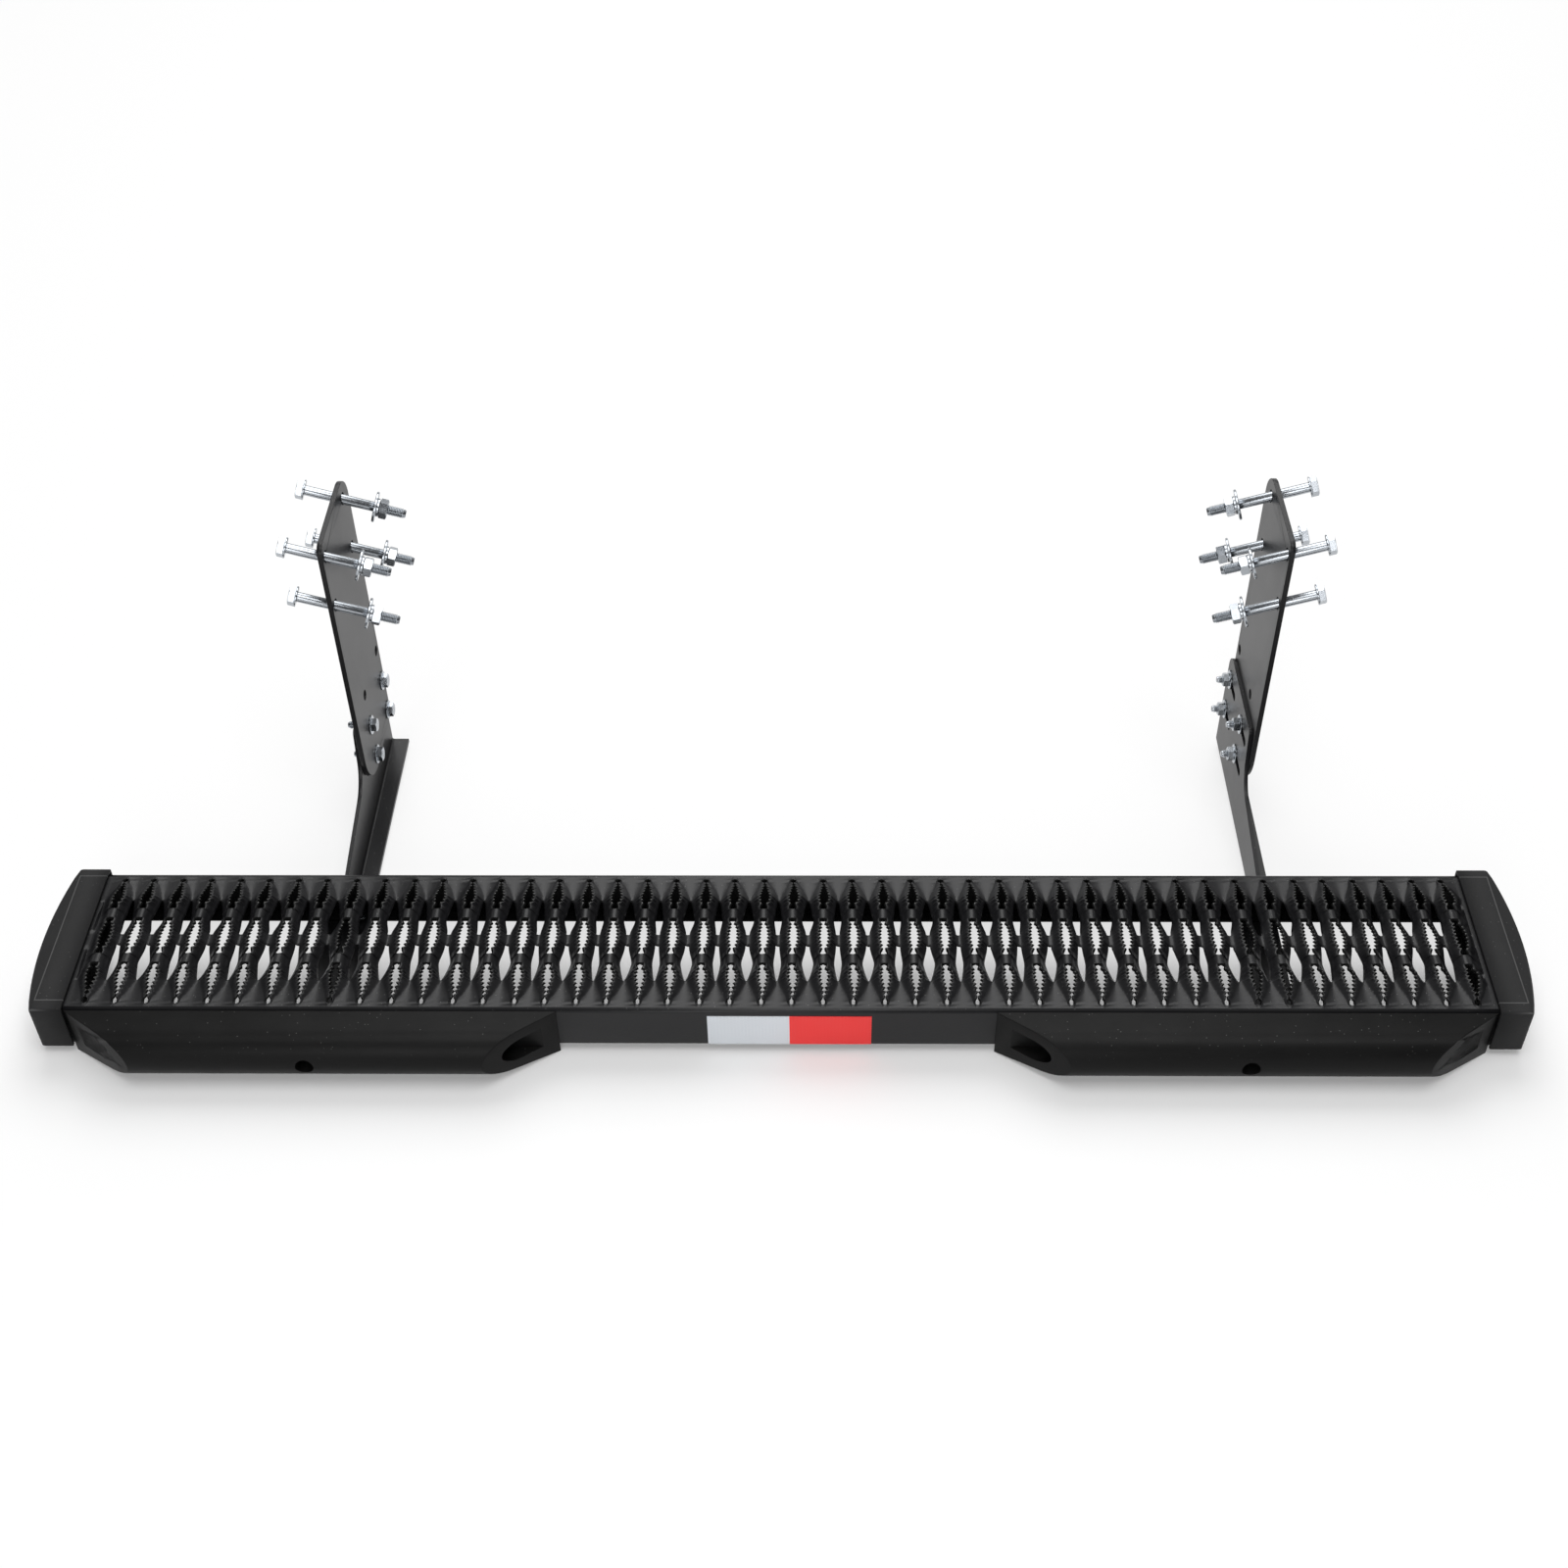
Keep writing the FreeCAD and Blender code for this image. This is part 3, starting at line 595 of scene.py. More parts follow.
def along_outline(outline: tuple[Point2, ...], run: float) -> float:
    """Value of a broken line at a run, level beyond its ends.

    Args:
        outline: Runs and values, in order.
        run: Where to read the line.

    Returns:
        The value.
    """
    for (run0, value0), (run1, value1) in zip(outline, outline[1:]):
        if run <= run1:
            return value0 + (value1 - value0) * max(0.0, run - run0) / (run1 - run0)
    return outline[-1][1]


@dataclass
class GripTread:
    """Folded plank whose top is slit and pressed into rows of serrated humps and low diamonds."""

    columns: int = 48
    pitch: float = 28.575
    stagger: float = 0.31
    middle_end: float = 23.3
    outer_start: float = 34.3
    middle_slot: tuple[Point2, ...] = ((0.0, 0.0), (0.4, 3.8), (3.8, 4.0), (5.2, 3.1), (10.0, 3.9),
                                       (16.0, 5.1), (23.3, 5.5))
    outer_slot: tuple[Point2, ...] = ((0.0, 0.0), (0.4, 3.8), (3.8, 4.0), (5.2, 3.2), (10.0, 4.8),
                                      (15.5, 5.4), (20.0, 4.6), (28.0, 3.0), (34.5, 1.6), (39.4, 0.6),
                                      (40.8, 3.0), (44.4, 3.0), (46.1, 0.0))
    toothed: Point2 = (5.2, 39.4)
    half_teeth: int = 16
    neck_steps: int = 4
    half_steps: int = 5
    flank_steps: int = 4
    pattern_edge: float = 83.4
    tooth: float = 1.35
    tooth_rise: float = 0.8
    tooth_fade: float = 2.0
    lean: float = 1.1
    lean_run: float = 6.0
    crest: float = 7.2
    crest_neck: float = 6.5
    crest_power: float = 1.45
    hump_fade: Point2 = (47.0, 82.0)
    low_ends: Point2 = (6.4, 51.4)
    low_blunt: float = 0.5
    low_middle: float = 27.0
    low_half_narrow: float = 3.5
    low_half_wide: float = 5.4
    low_inner_half: float = 1.7
    low_outer_half: float = 0.5
    low_rise: Point2 = (0.05, 1.1)
    low_power: float = 1.25
    valley: float = -3.0
    foot_inner: float = 13.1
    foot_run: Point2 = (30.0, 44.0)
    foot_power: float = 1.7
    least_reach: float = 0.8
    full_reach: float = 0.98
    straight: float = 0.4
    straight_open: float = 3.0
    neck_flat: float = 1.7
    half_length: float = 685.8
    half_depth: float = 88.0
    fold: float = 4.0
    fold_steps: int = 6
    lip: float = 69.5
    sheet: float = 2.6
    station_gap: float = 0.45
    sharp_limit: float = 42.0
    flat_limit: float = 1.0
    stations: list[float] = field(default_factory=list)

    def build(self) -> bpy.types.Object:
        """Make the plank's piece.

        Returns:
            The finished object.
        """
        self.stations = self._stations()
        bm = bmesh.new()
        self._slit_grid(bm)
        self._press(bm)
        pattern = set(bm.faces)
        self._fold_sides(bm)
        plain = [face for face in bm.faces if face not in pattern]
        edges = list({edge for face in plain for edge in face.edges
                      if not pattern.intersection(edge.link_faces)})
        verts = list({vert for edge in edges for vert in edge.verts
                      if not pattern.intersection(vert.link_faces)})
        bmesh.ops.dissolve_limit(bm, angle_limit=math.radians(self.flat_limit), verts=verts, edges=edges)
        bmesh.ops.recalc_face_normals(bm, faces=bm.faces)
        upward = [face.normal.z * face.calc_area() for face in bm.faces
                  if abs(face.calc_center_median().y) < self.hump_fade[1]]
        if sum(upward) < 0:
            bmesh.ops.reverse_faces(bm, faces=bm.faces)
        limit = math.radians(self.sharp_limit)
        piece = finish_piece("grip_tread", bm, Body.STEP, TREAD, ("tread_plank",), limit)
        # Inner faces and cut walls take the painted-shade finish.
        piece.data.materials.append(SHADED_UNDERSIDE.material())
        wall = piece.modifiers.new("sheet", "SOLIDIFY")
        wall.thickness = self.sheet * MM
        wall.offset = -1.0
        wall.material_offset = 1
        wall.material_offset_rim = 1
        return piece

    def _stations(self) -> list[float]:
        """Y of each cross line of the grid.

        Returns:
            Stations from the front edge of the pattern to its back edge.
        """
        first, last = self.toothed
        inner, outer = self.low_ends
        low = [inner, inner + self.low_blunt, outer - self.low_blunt, outer]
        slot = [self.outer_start + run for run, _ in self.outer_slot if run <= first or run >= last]
        slot += [self.middle_end - run for run, _ in self.middle_slot if run <= first]
        for start, end in ((self.outer_start + first, self.outer_start + last),
                           (first - self.middle_end, self.middle_end - first)):
            slot += [start + (end - start) * step / self.half_teeth for step in range(1, self.half_teeth)]
        gap = self.outer_start - self.middle_end
        slot += [self.middle_end + gap * step / self.neck_steps for step in range(1, self.neck_steps)]
        near = [y for y in slot if y >= 0 and min(abs(y - other) for other in low) > self.station_gap]
        half = sorted(low + near + [self.pattern_edge])
        return [-y for y in reversed(half) if y > 1e-6] + half

    def _centre(self, column: int) -> float:
        """X of a column's ridge, in pairs drawn slightly together."""
        shift = self.stagger if column % 2 else -self.stagger
        return (column - (self.columns - 1) / 2) * self.pitch + shift

    def _raised(self, column: int) -> bool:
        """Whether a column is pressed up; the outermost ones stay flat under the caps."""
        return 0 < column < self.columns - 1

    def _slit_grid(self, bm: Mesh) -> None:
        """Make the flat grid, number its lines and slit it along ridges and valleys.

        Args:
            bm: Mesh to fill.
        """
        per_column = 2 * self.half_steps
        across, deep = self.columns * per_column, len(self.stations) - 1
        bmesh.ops.create_grid(bm, x_segments=across, y_segments=deep, size=1.0)
        line = bm.verts.layers.int.new("line")
        station = bm.verts.layers.int.new("station")
        for vert in bm.verts:
            vert[line] = round((vert.co.x + 1.0) / 2.0 * across)
            vert[station] = round((vert.co.y + 1.0) / 2.0 * deep)
        slits = []
        for edge in bm.edges:
            first, second = edge.verts
            if first[line] != second[line]:
                continue
            middle = abs(self.stations[first[station]] + self.stations[second[station]]) / 2
            column, place = divmod(first[line], per_column)
            ridge = place == self.half_steps and self._raised(column) and self._slot(middle)[0] > 0.0
            valley = (place == 0 and self._raised(column - 1) and self._raised(column)
                      and self.low_ends[0] < middle < self.low_ends[1])
            if ridge or valley:
                slits.append(edge)
        bmesh.ops.split_edges(bm, edges=slits)

    def _press(self, bm: Mesh) -> None:
        """Move each vertex of the slit grid to its pressed place.

        Args:
            bm: The slit grid.
        """
        line = bm.verts.layers.int["line"]
        station = bm.verts.layers.int["station"]
        # Marks the teeth's tips, where the tread's finish paints highlights.
        worn = bm.verts.layers.float.new("worn")
        per_column = 2 * self.half_steps
        targets = []
        for vert in bm.verts:
            lean = sum(face.calc_center_median().x - vert.co.x for face in vert.link_faces)
            column, place = divmod(vert[line], per_column)
            if place == 0 and (column == self.columns or (lean < -1e-6 and column > 0)):
                column, place = column - 1, per_column
            offset = place - self.half_steps
            side = math.copysign(1, offset if offset else lean)
            y = self.stations[vert[station]]
            # Painted highlight, strongest on the tips of the teeth.
            if offset == 0 and self._raised(column):
                vert[worn] = self._slot(y)[1] / self.tooth_rise
            targets.append((vert, self._pressed(column, side, abs(offset) / self.half_steps, y)))
        for vert, target in targets:
            vert.co = target

    def _pressed(self, column: int, side: float, share: float, y: float) -> Vector:
        """Pressed place of one point of a strand.

        Args:
            column: The strand's ridge.
            side: Which side of the ridge the strand lies on.
            share: 0 at the ridge, 1 at the middle of the gap.
            y: Place across the plank.

        Returns:
            The point.
        """
        centre = self._centre(column)
        neighbour = column + int(side)
        if not 0 <= neighbour < self.columns:
            return Vector((centre + (side * self.half_length - centre) * share, y, 0.0))
        raised = self._raised(column)
        half_open, rise, lean = self._slot(y) if raised else (0.0, 0.0, 0.0)
        near = centre + lean + side * half_open
        gap = (centre + self._centre(neighbour)) / 2
        far = gap - side * self._low_half_width(min(column, neighbour), y)
        top = self._crest(y) + rise * (1.0 - share) if raised else 0.0
        floor = self._valley(y) if raised else 0.0
        flat = max(0.0, self.neck_flat - half_open) if raised else 0.0
        first = 1.0 / self.half_steps
        if flat and share <= first:
            return Vector((near + side * flat * share / first, y, top))
        if flat:
            near, share = near + side * flat, (share - first) / (1.0 - first)
        width = abs(far - near)
        reach = max(self.least_reach, min(width, self._foot(y) - half_open - flat))
        knee = self.flank_steps / self.half_steps
        if reach > self.full_reach * width:
            run, x = share, near + (far - near) * share
        elif share <= knee:
            run, x = share / knee, near + side * reach * share / knee
        else:
            run, x = 1.0, near + side * (reach + (width - reach) * (share - knee) / (1.0 - knee))
        straight = self.straight * min(1.0, half_open / self.straight_open)
        fall = straight * run + (1.0 - straight) * smoothstep(0.0, 1.0, run)
        return Vector((x, y, top + (floor - top) * fall))

    def _slot(self, y: float) -> Point3:
        """Opening in a ridge at Y.

        Args:
            y: Place across the plank.

        Returns:
            Half width, rise of the tooth there, and how far the opening leans to +X.
        """
        first, last = self.toothed
        if abs(y) < self.middle_end:
            run = self.middle_end - abs(y)
            half = along_outline(self.middle_slot, run)
            start, length = first - self.middle_end, 2 * (self.middle_end - first)
            ends = run - first
            share = (y - start) / length
        else:
            run = abs(y) - self.outer_start
            if not 0.0 < run < self.outer_slot[-1][0]:
                return 0.0, 0.0, 0.0
            half = along_outline(self.outer_slot, run)
            ends = min(run - first, last - run)
            share = (run - first) / (last - first)
        if ends <= 0.0:
            return half, 0.0, 0.0
        phase = (share * self.half_teeth) % 2.0
        wave = 1.0 - 2.0 * (phase if phase <= 1.0 else 2.0 - phase)
        size = min(1.0, ends / self.tooth_fade) * min(1.0, half / self.tooth_fade)
        lean = self.lean * smoothstep(0.0, self.lean_run, ends)
        return half + self.tooth * size * wave, self.tooth_rise * size * max(0.0, -wave), lean

    def _low_half_width(self, column: int, y: float) -> float:
        """Half width of the low diamond after a column, at Y.

        Args:
            column: Column on the gap's left.
            y: Place across the plank.

        Returns:
            Half width, 0 outside the diamond.
        """
        inner, outer = self.low_ends
        place = abs(y)
        open_gap = self._raised(column) and self._raised(column + 1)
        if not open_gap or not inner + 1e-6 < place < outer - 1e-6:
            return 0.0
        most = self.low_half_narrow if column % 2 else self.low_half_wide
        if place < self.low_middle:
            share = (place - inner) / (self.low_middle - inner)
            return self.low_inner_half + (most - self.low_inner_half) * smoothstep(*self.low_rise, share)
        share = (place - self.low_middle) / (outer - self.low_middle)
        return self.low_outer_half + (most - self.low_outer_half) * (1.0 - share ** self.low_power)

    def _fade(self, y: float) -> float:
        """0 where the humps stand full at Y, 1 where they have run out."""
        start, end = self.hump_fade
        return min(1.0, max(0.0, (abs(y) - start) / (end - start)))

    def _crest(self, y: float) -> float:
        """Height of a ridge line over the flat margin at Y."""
        wave = 0.5 + 0.5 * math.cos(2 * math.pi * min(1.0, abs(y) / self.hump_fade[0]))
        full = self.crest_neck + (self.crest - self.crest_neck) * wave
        return full * (1.0 - self._fade(y) ** self.crest_power)

    def _valley(self, y: float) -> float:
        """Height of a valley line at Y, level with the margin at the diamonds' ends."""
        inner, outer = self.low_ends
        along = (2 * abs(y) - inner - outer) / (outer - inner)
        return self.valley * max(0.0, 1.0 - along * along)

    def _foot(self, y: float) -> float:
        """Half width of a hump's foot at Y, which narrows to the pattern's edge."""
        side = self.foot_inner + (self.pitch / 2 - self.foot_inner) * smoothstep(*self.foot_run, abs(y))
        return side * (1.0 - self._fade(y) ** self.foot_power)

    def _fold_sides(self, bm: Mesh) -> None:
        """Draw the pattern's border out to the plank's flanges and return lips.

        Args:
            bm: The pressed grid.
        """
        flat = self.half_depth - self.fold
        low = self.fold - PLANK_HEIGHT
        for side in (-1, 1):
            rim = [edge for edge in bm.edges if edge.is_boundary
                   and all(side * vert.co.y > self.pattern_edge - NEAR for vert in edge.verts)]
            rim = self._draw_to(bm, rim, 1, side * flat)
            rim = self._bend(bm, rim, side, -self.fold)
            rim = self._draw_to(bm, rim, 2, low)
            rim = self._bend(bm, rim, side, low)
            self._draw_to(bm, rim, 1, side * self.lip)

    @staticmethod
    def _draw_to(bm: Mesh, rim: Edges, axis: int, value: float) -> Edges:
        """Extrude a rim until one coordinate has a value.

        Args:
            bm: The plank.
            rim: Edges to extrude.
            axis: Coordinate to set.
            value: Its value.

        Returns:
            The new rim.
        """
        grown = bmesh.ops.extrude_edge_only(bm, edges=rim)["geom"]
        fresh = set(verts_of(grown))
        for vert in fresh:
            vert.co[axis] = value
        return [edge for edge in edges_of(grown) if fresh.issuperset(edge.verts)]

    def _bend(self, bm: Mesh, rim: Edges, side: int, height: float) -> Edges:
        """Fold a rim a quarter turn down or in.

        Args:
            bm: The plank.
            rim: Edges to fold.
            side: Sign of Y of the flange.
            height: Z of the fold's axis.

        Returns:
            The rim after the fold.
        """
        verts = list({vert for edge in rim for vert in edge.verts})
        centre = (0.0, side * (self.half_depth - self.fold), height)
        turned = bmesh.ops.spin(bm, geom=verts + rim, cent=centre, axis=(1.0, 0.0, 0.0), dvec=(0.0, 0.0, 0.0),
                                angle=-side * math.pi / 2, steps=self.fold_steps, use_duplicate=False)
        return edges_of(turned["geom_last"])


@dataclass(frozen=True)
class ThreadSize:
    """Sizes that a bolt shares with its nut and washers.

    Args:
        shank: Shank diameter.
        flats: Size across flats.
        head: Head height.
        nut: Nut height.
        pitch: Thread pitch.
        hole: Hole diameter of its washers.
    """

    shank: float
    flats: float
    head: float
    nut: float
    pitch: float
    hole: float


M8 = ThreadSize(7.8, 13.0, 5.3, 6.5, 1.25, 8.6)
M8_LOW = replace(M8, head=4.2)
M10 = ThreadSize(9.8, 17.0, 6.4, 8.4, 1.5, 10.6)
CHAMFER = math.tan(math.radians(30.0))
THIN_SHEET = 1.6


@dataclass
class Fasteners:
    """Zinc bolts, nuts and washers, each drawn along +Z from its head's underside."""

    segments: int = 36
    head_crown: float = 0.94
    nut_crown: float = 0.95
    dish: Point2 = (0.6, 0.64)
    dish_depth: float = 0.12
    fillet: float = 0.3
    root_depth: float = 0.55
    root_gap: float = 0.1
    bore_gap: float = 0.05
    bore_sink: Point2 = (0.6, 0.7)
    washer_soft: float = 0.22
    washer_rim: float = 0.2
    spring_steps: int = 32
    spring_turn: float = 348.0
    spring_lift: float = 0.25

    @staticmethod
    def _hexagon_reach(flats: float, angle: float) -> float:
        """Distance from the axis to a hexagon's side in a direction."""
        sixth = math.pi / 3
        return flats / 2 / math.cos((angle + sixth / 2) % sixth - sixth / 2)

    def ring(self, bm: Mesh, flats: float, height: float, drop: float = 0.0) -> Edges:
        """Add a six-sided ring, optionally with corners drawn down as on a turned chamfer.

        Args:
            bm: Mesh to add to.
            flats: Size across flats.
            height: Z of the ring.
            drop: Slope of the chamfer, signed.

        Returns:
            The ring's edges.
        """
        made = bmesh.ops.create_circle(bm, segments=self.segments, radius=1.0)["verts"]
        for vert in made:
            angle = math.atan2(vert.co.y, vert.co.x)
            reach = self._hexagon_reach(flats, angle)
            level = height - drop * (reach - flats / 2)
            vert.co = Vector((reach * math.cos(angle), reach * math.sin(angle), level))
        return list({edge for vert in made for edge in vert.link_edges})

    def circle(self, bm: Mesh, radius: float, height: float) -> Edges:
        """Add a round ring.

        Args:
            bm: Mesh to add to.
            radius: Its radius.
            height: Z of the ring.

        Returns:
            The ring's edges.
        """
        turn = Matrix.Translation((0.0, 0.0, height))
        made = bmesh.ops.create_circle(bm, segments=self.segments, radius=radius, matrix=turn)["verts"]
        return list({edge for vert in made for edge in vert.link_edges})

    @staticmethod
    def loft(bm: Mesh, rings: list[Edges], closed: bool = False) -> None:
        """Bridge rings in order.

        Args:
            bm: Mesh that holds them.
            rings: Rings of edges.
            closed: Whether the last ring joins the first; otherwise both ends are filled.
        """
        for first, second in zip(rings, rings[1:] + (rings[:1] if closed else [])):
            bmesh.ops.bridge_loops(bm, edges=first + second)
        if not closed:
            for end in (rings[0], rings[-1]):
                bmesh.ops.edgeloop_fill(bm, edges=end)

    def bolt(self, size: ThreadSize, length: float, thread: float) -> Mesh:
        """Hex bolt with a turned head and a threaded tail.

        Args:
            size: Its sizes.
            length: Length under the head.
            thread: Length of the thread.

        Returns:
            The mesh.
        """
        bm = bmesh.new()
        radius, flats, head, pitch = size.shank / 2, size.flats, size.head, size.pitch
        crown = self.head_crown * flats / 2
        root = radius - self.root_depth * pitch
        start = length - thread
        rings = [self.circle(bm, self.dish[0] * crown, -head + self.dish_depth),
                 self.circle(bm, self.dish[1] * crown, -head),
                 self.circle(bm, crown, -head),
                 self.ring(bm, flats, -head + CHAMFER * (flats / 2 - crown), -CHAMFER),
                 self.ring(bm, flats, -0.25),
                 self.ring(bm, flats - 0.4, 0.0),
                 self.circle(bm, radius + self.fillet, 0.0),
                 self.circle(bm, radius, self.fillet),
                 self.circle(bm, radius, start),
                 self.circle(bm, root, start + pitch),
                 self.circle(bm, root, length - 0.8 * pitch),
                 self.circle(bm, root - 0.5 * pitch, length)]
        self.loft(bm, rings)
        self.thread(bm, radius, root, start, length - 0.6 * pitch, pitch)
        bmesh.ops.recalc_face_normals(bm, faces=bm.faces)
        return bm

    def thread(self, bm: Mesh, crest: float, root: float, start: float, end: float, pitch: float) -> None:
        """Wind a thread's ridge round the shank.

        Args:
            bm: Mesh to add to.
            crest: Crest radius.
            root: Root radius.
            start: Z where it starts.
            end: Z where it ends.
            pitch: Thread pitch.
        """
        steps = self.segments * 2 // 3
        turns = int((end - start) / pitch) - 1
        if turns < 1:
            return
        foot = root - self.root_gap
        outline = [(foot, 0.0), (crest, 0.42 * pitch), (crest, 0.58 * pitch), (foot, pitch)]
        verts = [bm.verts.new((radius, 0.0, start + height)) for radius, height in outline]
        wound = bmesh.ops.spin(bm, geom=[bm.faces.new(verts)], cent=(0, 0, 0), axis=(0, 0, 1),
                               dvec=(0, 0, pitch / steps), angle=2 * math.pi * turns, steps=steps * turns,
                               use_duplicate=False)
        last = [item for item in wound["geom_last"] if isinstance(item, bmesh.types.BMFace)]
        for vert in [vert for item in last for vert in item.verts]:
            flat = Vector((vert.co.x, vert.co.y, 0.0)).normalized() * foot
            vert.co.x, vert.co.y = flat.x, flat.y

    def nut(self, size: ThreadSize, at: float) -> Mesh:
        """Hex nut with turned chamfers on both faces.

        Args:
            size: Sizes of its bolt.
            at: Distance from the head's underside.

        Returns:
            The mesh.
        """
        bm = bmesh.new()
        flats, top = size.flats, at + size.nut
        crown = self.nut_crown * flats / 2
        drop = CHAMFER * (flats / 2 - crown)
        bore = size.shank / 2 + self.bore_gap
        wide, deep = self.bore_sink
        rings = [self.circle(bm, bore, at + deep),
                 self.circle(bm, bore + wide, at),
                 self.circle(bm, crown, at),
                 self.ring(bm, flats, at + drop, -CHAMFER),
                 self.ring(bm, flats, top - drop, CHAMFER),
                 self.circle(bm, crown, top),
                 self.circle(bm, bore + wide, top),
                 self.circle(bm, bore, top - deep)]
        self.loft(bm, rings, closed=True)
        bmesh.ops.recalc_face_normals(bm, faces=bm.faces)
        return bm

    def washer(self, size: ThreadSize, outer: float, sheet: float, at: float) -> Mesh:
        """Flat washer with softened rims.

        Args:
            size: Sizes of its bolt.
            outer: Outer diameter.
            sheet: Thickness.
            at: Distance from the head's underside.

        Returns:
            The mesh.
        """
        bm = bmesh.new()
        bore, rim, top = size.hole / 2, outer / 2, at + sheet
        soft = self.washer_soft * sheet
        outline = [(bore, at), (rim - soft, at), (rim, at + soft), (rim, top - soft), (rim - soft, top),
                   (bore + self.washer_rim, top), (bore, top - self.washer_rim)]
        self.loft(bm, [self.circle(bm, radius, height) for radius, height in outline], closed=True)
        bmesh.ops.recalc_face_normals(bm, faces=bm.faces)
        return bm

    def spring(self, size: ThreadSize, outer: float, sheet: float, at: float) -> Mesh:
        """Split ring whose two ends stand a little apart.

        Args:
            size: Sizes of its bolt.
            outer: Outer diameter.
            sheet: Room for the ring along the bolt.
            at: Distance from the head's underside.

        Returns:
            The mesh.
        """
        bm = bmesh.new()
        steps, turn, lift = self.spring_steps, math.radians(self.spring_turn), self.spring_lift * sheet
        low, high = at, at + sheet - lift
        start = math.pi / 2 + (2 * math.pi - turn) / 2
        corners = [(size.hole / 2, low), (outer / 2, low), (outer / 2, high), (size.hole / 2, high)]
        verts = [bm.verts.new((r * math.cos(start), r * math.sin(start), z)) for r, z in corners]
        bmesh.ops.spin(bm, geom=[bm.faces.new(verts)], cent=(0, 0, 0), axis=(0, 0, 1),
                       dvec=(0, 0, lift / steps), angle=turn, steps=steps, use_duplicate=False)
        bmesh.ops.recalc_face_normals(bm, faces=bm.faces)
        return bm


def fasten(node: str, drawn: Mesh, places: list[Matrix], body: Body) -> None:
    """Make a piece of placed copies of one fastener.

    Args:
        node: CAD node that the piece stands for.
        drawn: One fastener; it is freed.
        places: Where its copies go.
        body: Body that the piece rides on.
    """
    copies = bmesh.new()
    for place in places:
        mesh = bpy.data.meshes.new("copy")
        drawn.to_mesh(mesh)
        mesh.transform(place)
        copies.from_mesh(mesh)
        bpy.data.meshes.remove(mesh)
    drawn.free()
    finish_piece(node + "_zinc", copies, body, ZINC, (node,))


def along(origin: Vector, direction: Vector, spin: float = 0.0) -> Matrix:
    """Matrix that takes +Z to a direction at an origin.

    Args:
        origin: Where the head's underside lies.
        direction: Way that the bolt points.
        spin: Turn about the bolt's own axis in radians.

    Returns:
        The matrix.
    """
    turn = Vector((0.0, 0.0, 1.0)).rotation_difference(direction).to_matrix().to_4x4()
    return Matrix.Translation(origin) @ turn @ Matrix.Rotation(spin, 4, "Z")


@dataclass
class BracketHardware:
    """Bolts, nuts and washers of one frame plate."""

    side: Side
    shop: Fasteners
    slot_y: Point2 = (254.5, 325.0)
    slot_z: Point2 = (7.5, 48.0)
    slot_bolt: Point2 = (25.0, 14.0)
    slot_washer: float = 20.0
    slot_spins: tuple[float, ...] = (0.3, 1.1, 0.7, 0.05)
    frame_y: Point2 = (220.0, 313.0)
    frame_z: Point2 = (289.0, 231.5)
    frame_bolt: Point2 = (100.0, 32.0)
    frame_spins: tuple[float, ...] = (0.02, 0.06, -0.04, 0.03)
    head_washer: float = 20.0
    flat_washer: Point2 = (30.0, 2.5)
    spring_washer: Point2 = (18.0, 2.4)
    nut_turn: float = 0.4
    nut_spread: float = 8.0
    web: float = 4.0
    plate: float = 5.0
    droop: float = 17.0
    head_at: float = -36.0
    washer_at: float = 33.0

    def build(self) -> None:
        """Make the short and the long fasteners' pieces."""
        self._slot_set()
        self._frame_set()

    def _piece(self, group: str, drawn: Mesh, places: list[Matrix]) -> None:
        """Make one kind of this side's fasteners."""
        fasten(f"{self.side.label}_{group}", drawn, places, self.side.plate)

    def _slot_set(self) -> None:
        """Short bolts through plate and web, heads on the plate."""
        grip = self.plate + self.web
        origin = self.side.web_x + grip + THIN_SHEET
        spots = [(y, z) for z in self.slot_z for y in self.slot_y]
        places = [along(Vector((origin, y, z)), Vector((-1.0, 0.0, 0.0)), spin)
                  for (y, z), spin in zip(spots, self.slot_spins)]
        turned = [place @ Matrix.Rotation(self.nut_turn + spin, 4, "Z")
                  for place, spin in zip(places, self.slot_spins)]
        shop, outer = self.shop, self.slot_washer
        self._piece("slot_bolts", shop.bolt(M8, *self.slot_bolt), places)
        self._piece("slot_head_washers", shop.washer(M8, outer, THIN_SHEET, 0.0), places)
        self._piece("slot_nut_washers", shop.washer(M8, outer, THIN_SHEET, THIN_SHEET + grip), places)
        self._piece("slot_nuts", shop.nut(M8, 2 * THIN_SHEET + grip), turned)

    def _frame_set(self) -> None:
        """Long bolts that droop in the plate's upper holes."""
        middle = self.side.web_x + self.web + self.plate / 2
        droop = math.radians(self.droop)
        direction = Vector((-self.side.value * math.cos(droop), 0.0, -math.sin(droop)))
        spots = [(y, z) for z in self.frame_z for y in self.frame_y]
        places, turned = [], []
        for (y, z), spin in zip(spots, self.frame_spins):
            origin = Vector((middle, y, z)) + direction * self.head_at
            places.append(along(origin, direction, spin))
            turned.append(along(origin, direction, self.nut_turn + self.nut_spread * spin))
        shop = self.shop
        flat = self.washer_at - self.head_at
        spring = flat + self.flat_washer[1]
        self._piece("frame_bolts", shop.bolt(M10, *self.frame_bolt), places)
        self._piece("frame_head_washers", shop.washer(M10, self.head_washer, THIN_SHEET, 0.0), places)
        self._piece("frame_flat_washers", shop.washer(M10, *self.flat_washer, flat), places)
        self._piece("frame_spring_washers", shop.spring(M10, *self.spring_washer, spring), places)
        self._piece("frame_nuts", shop.nut(M10, spring + self.spring_washer[1]), turned)


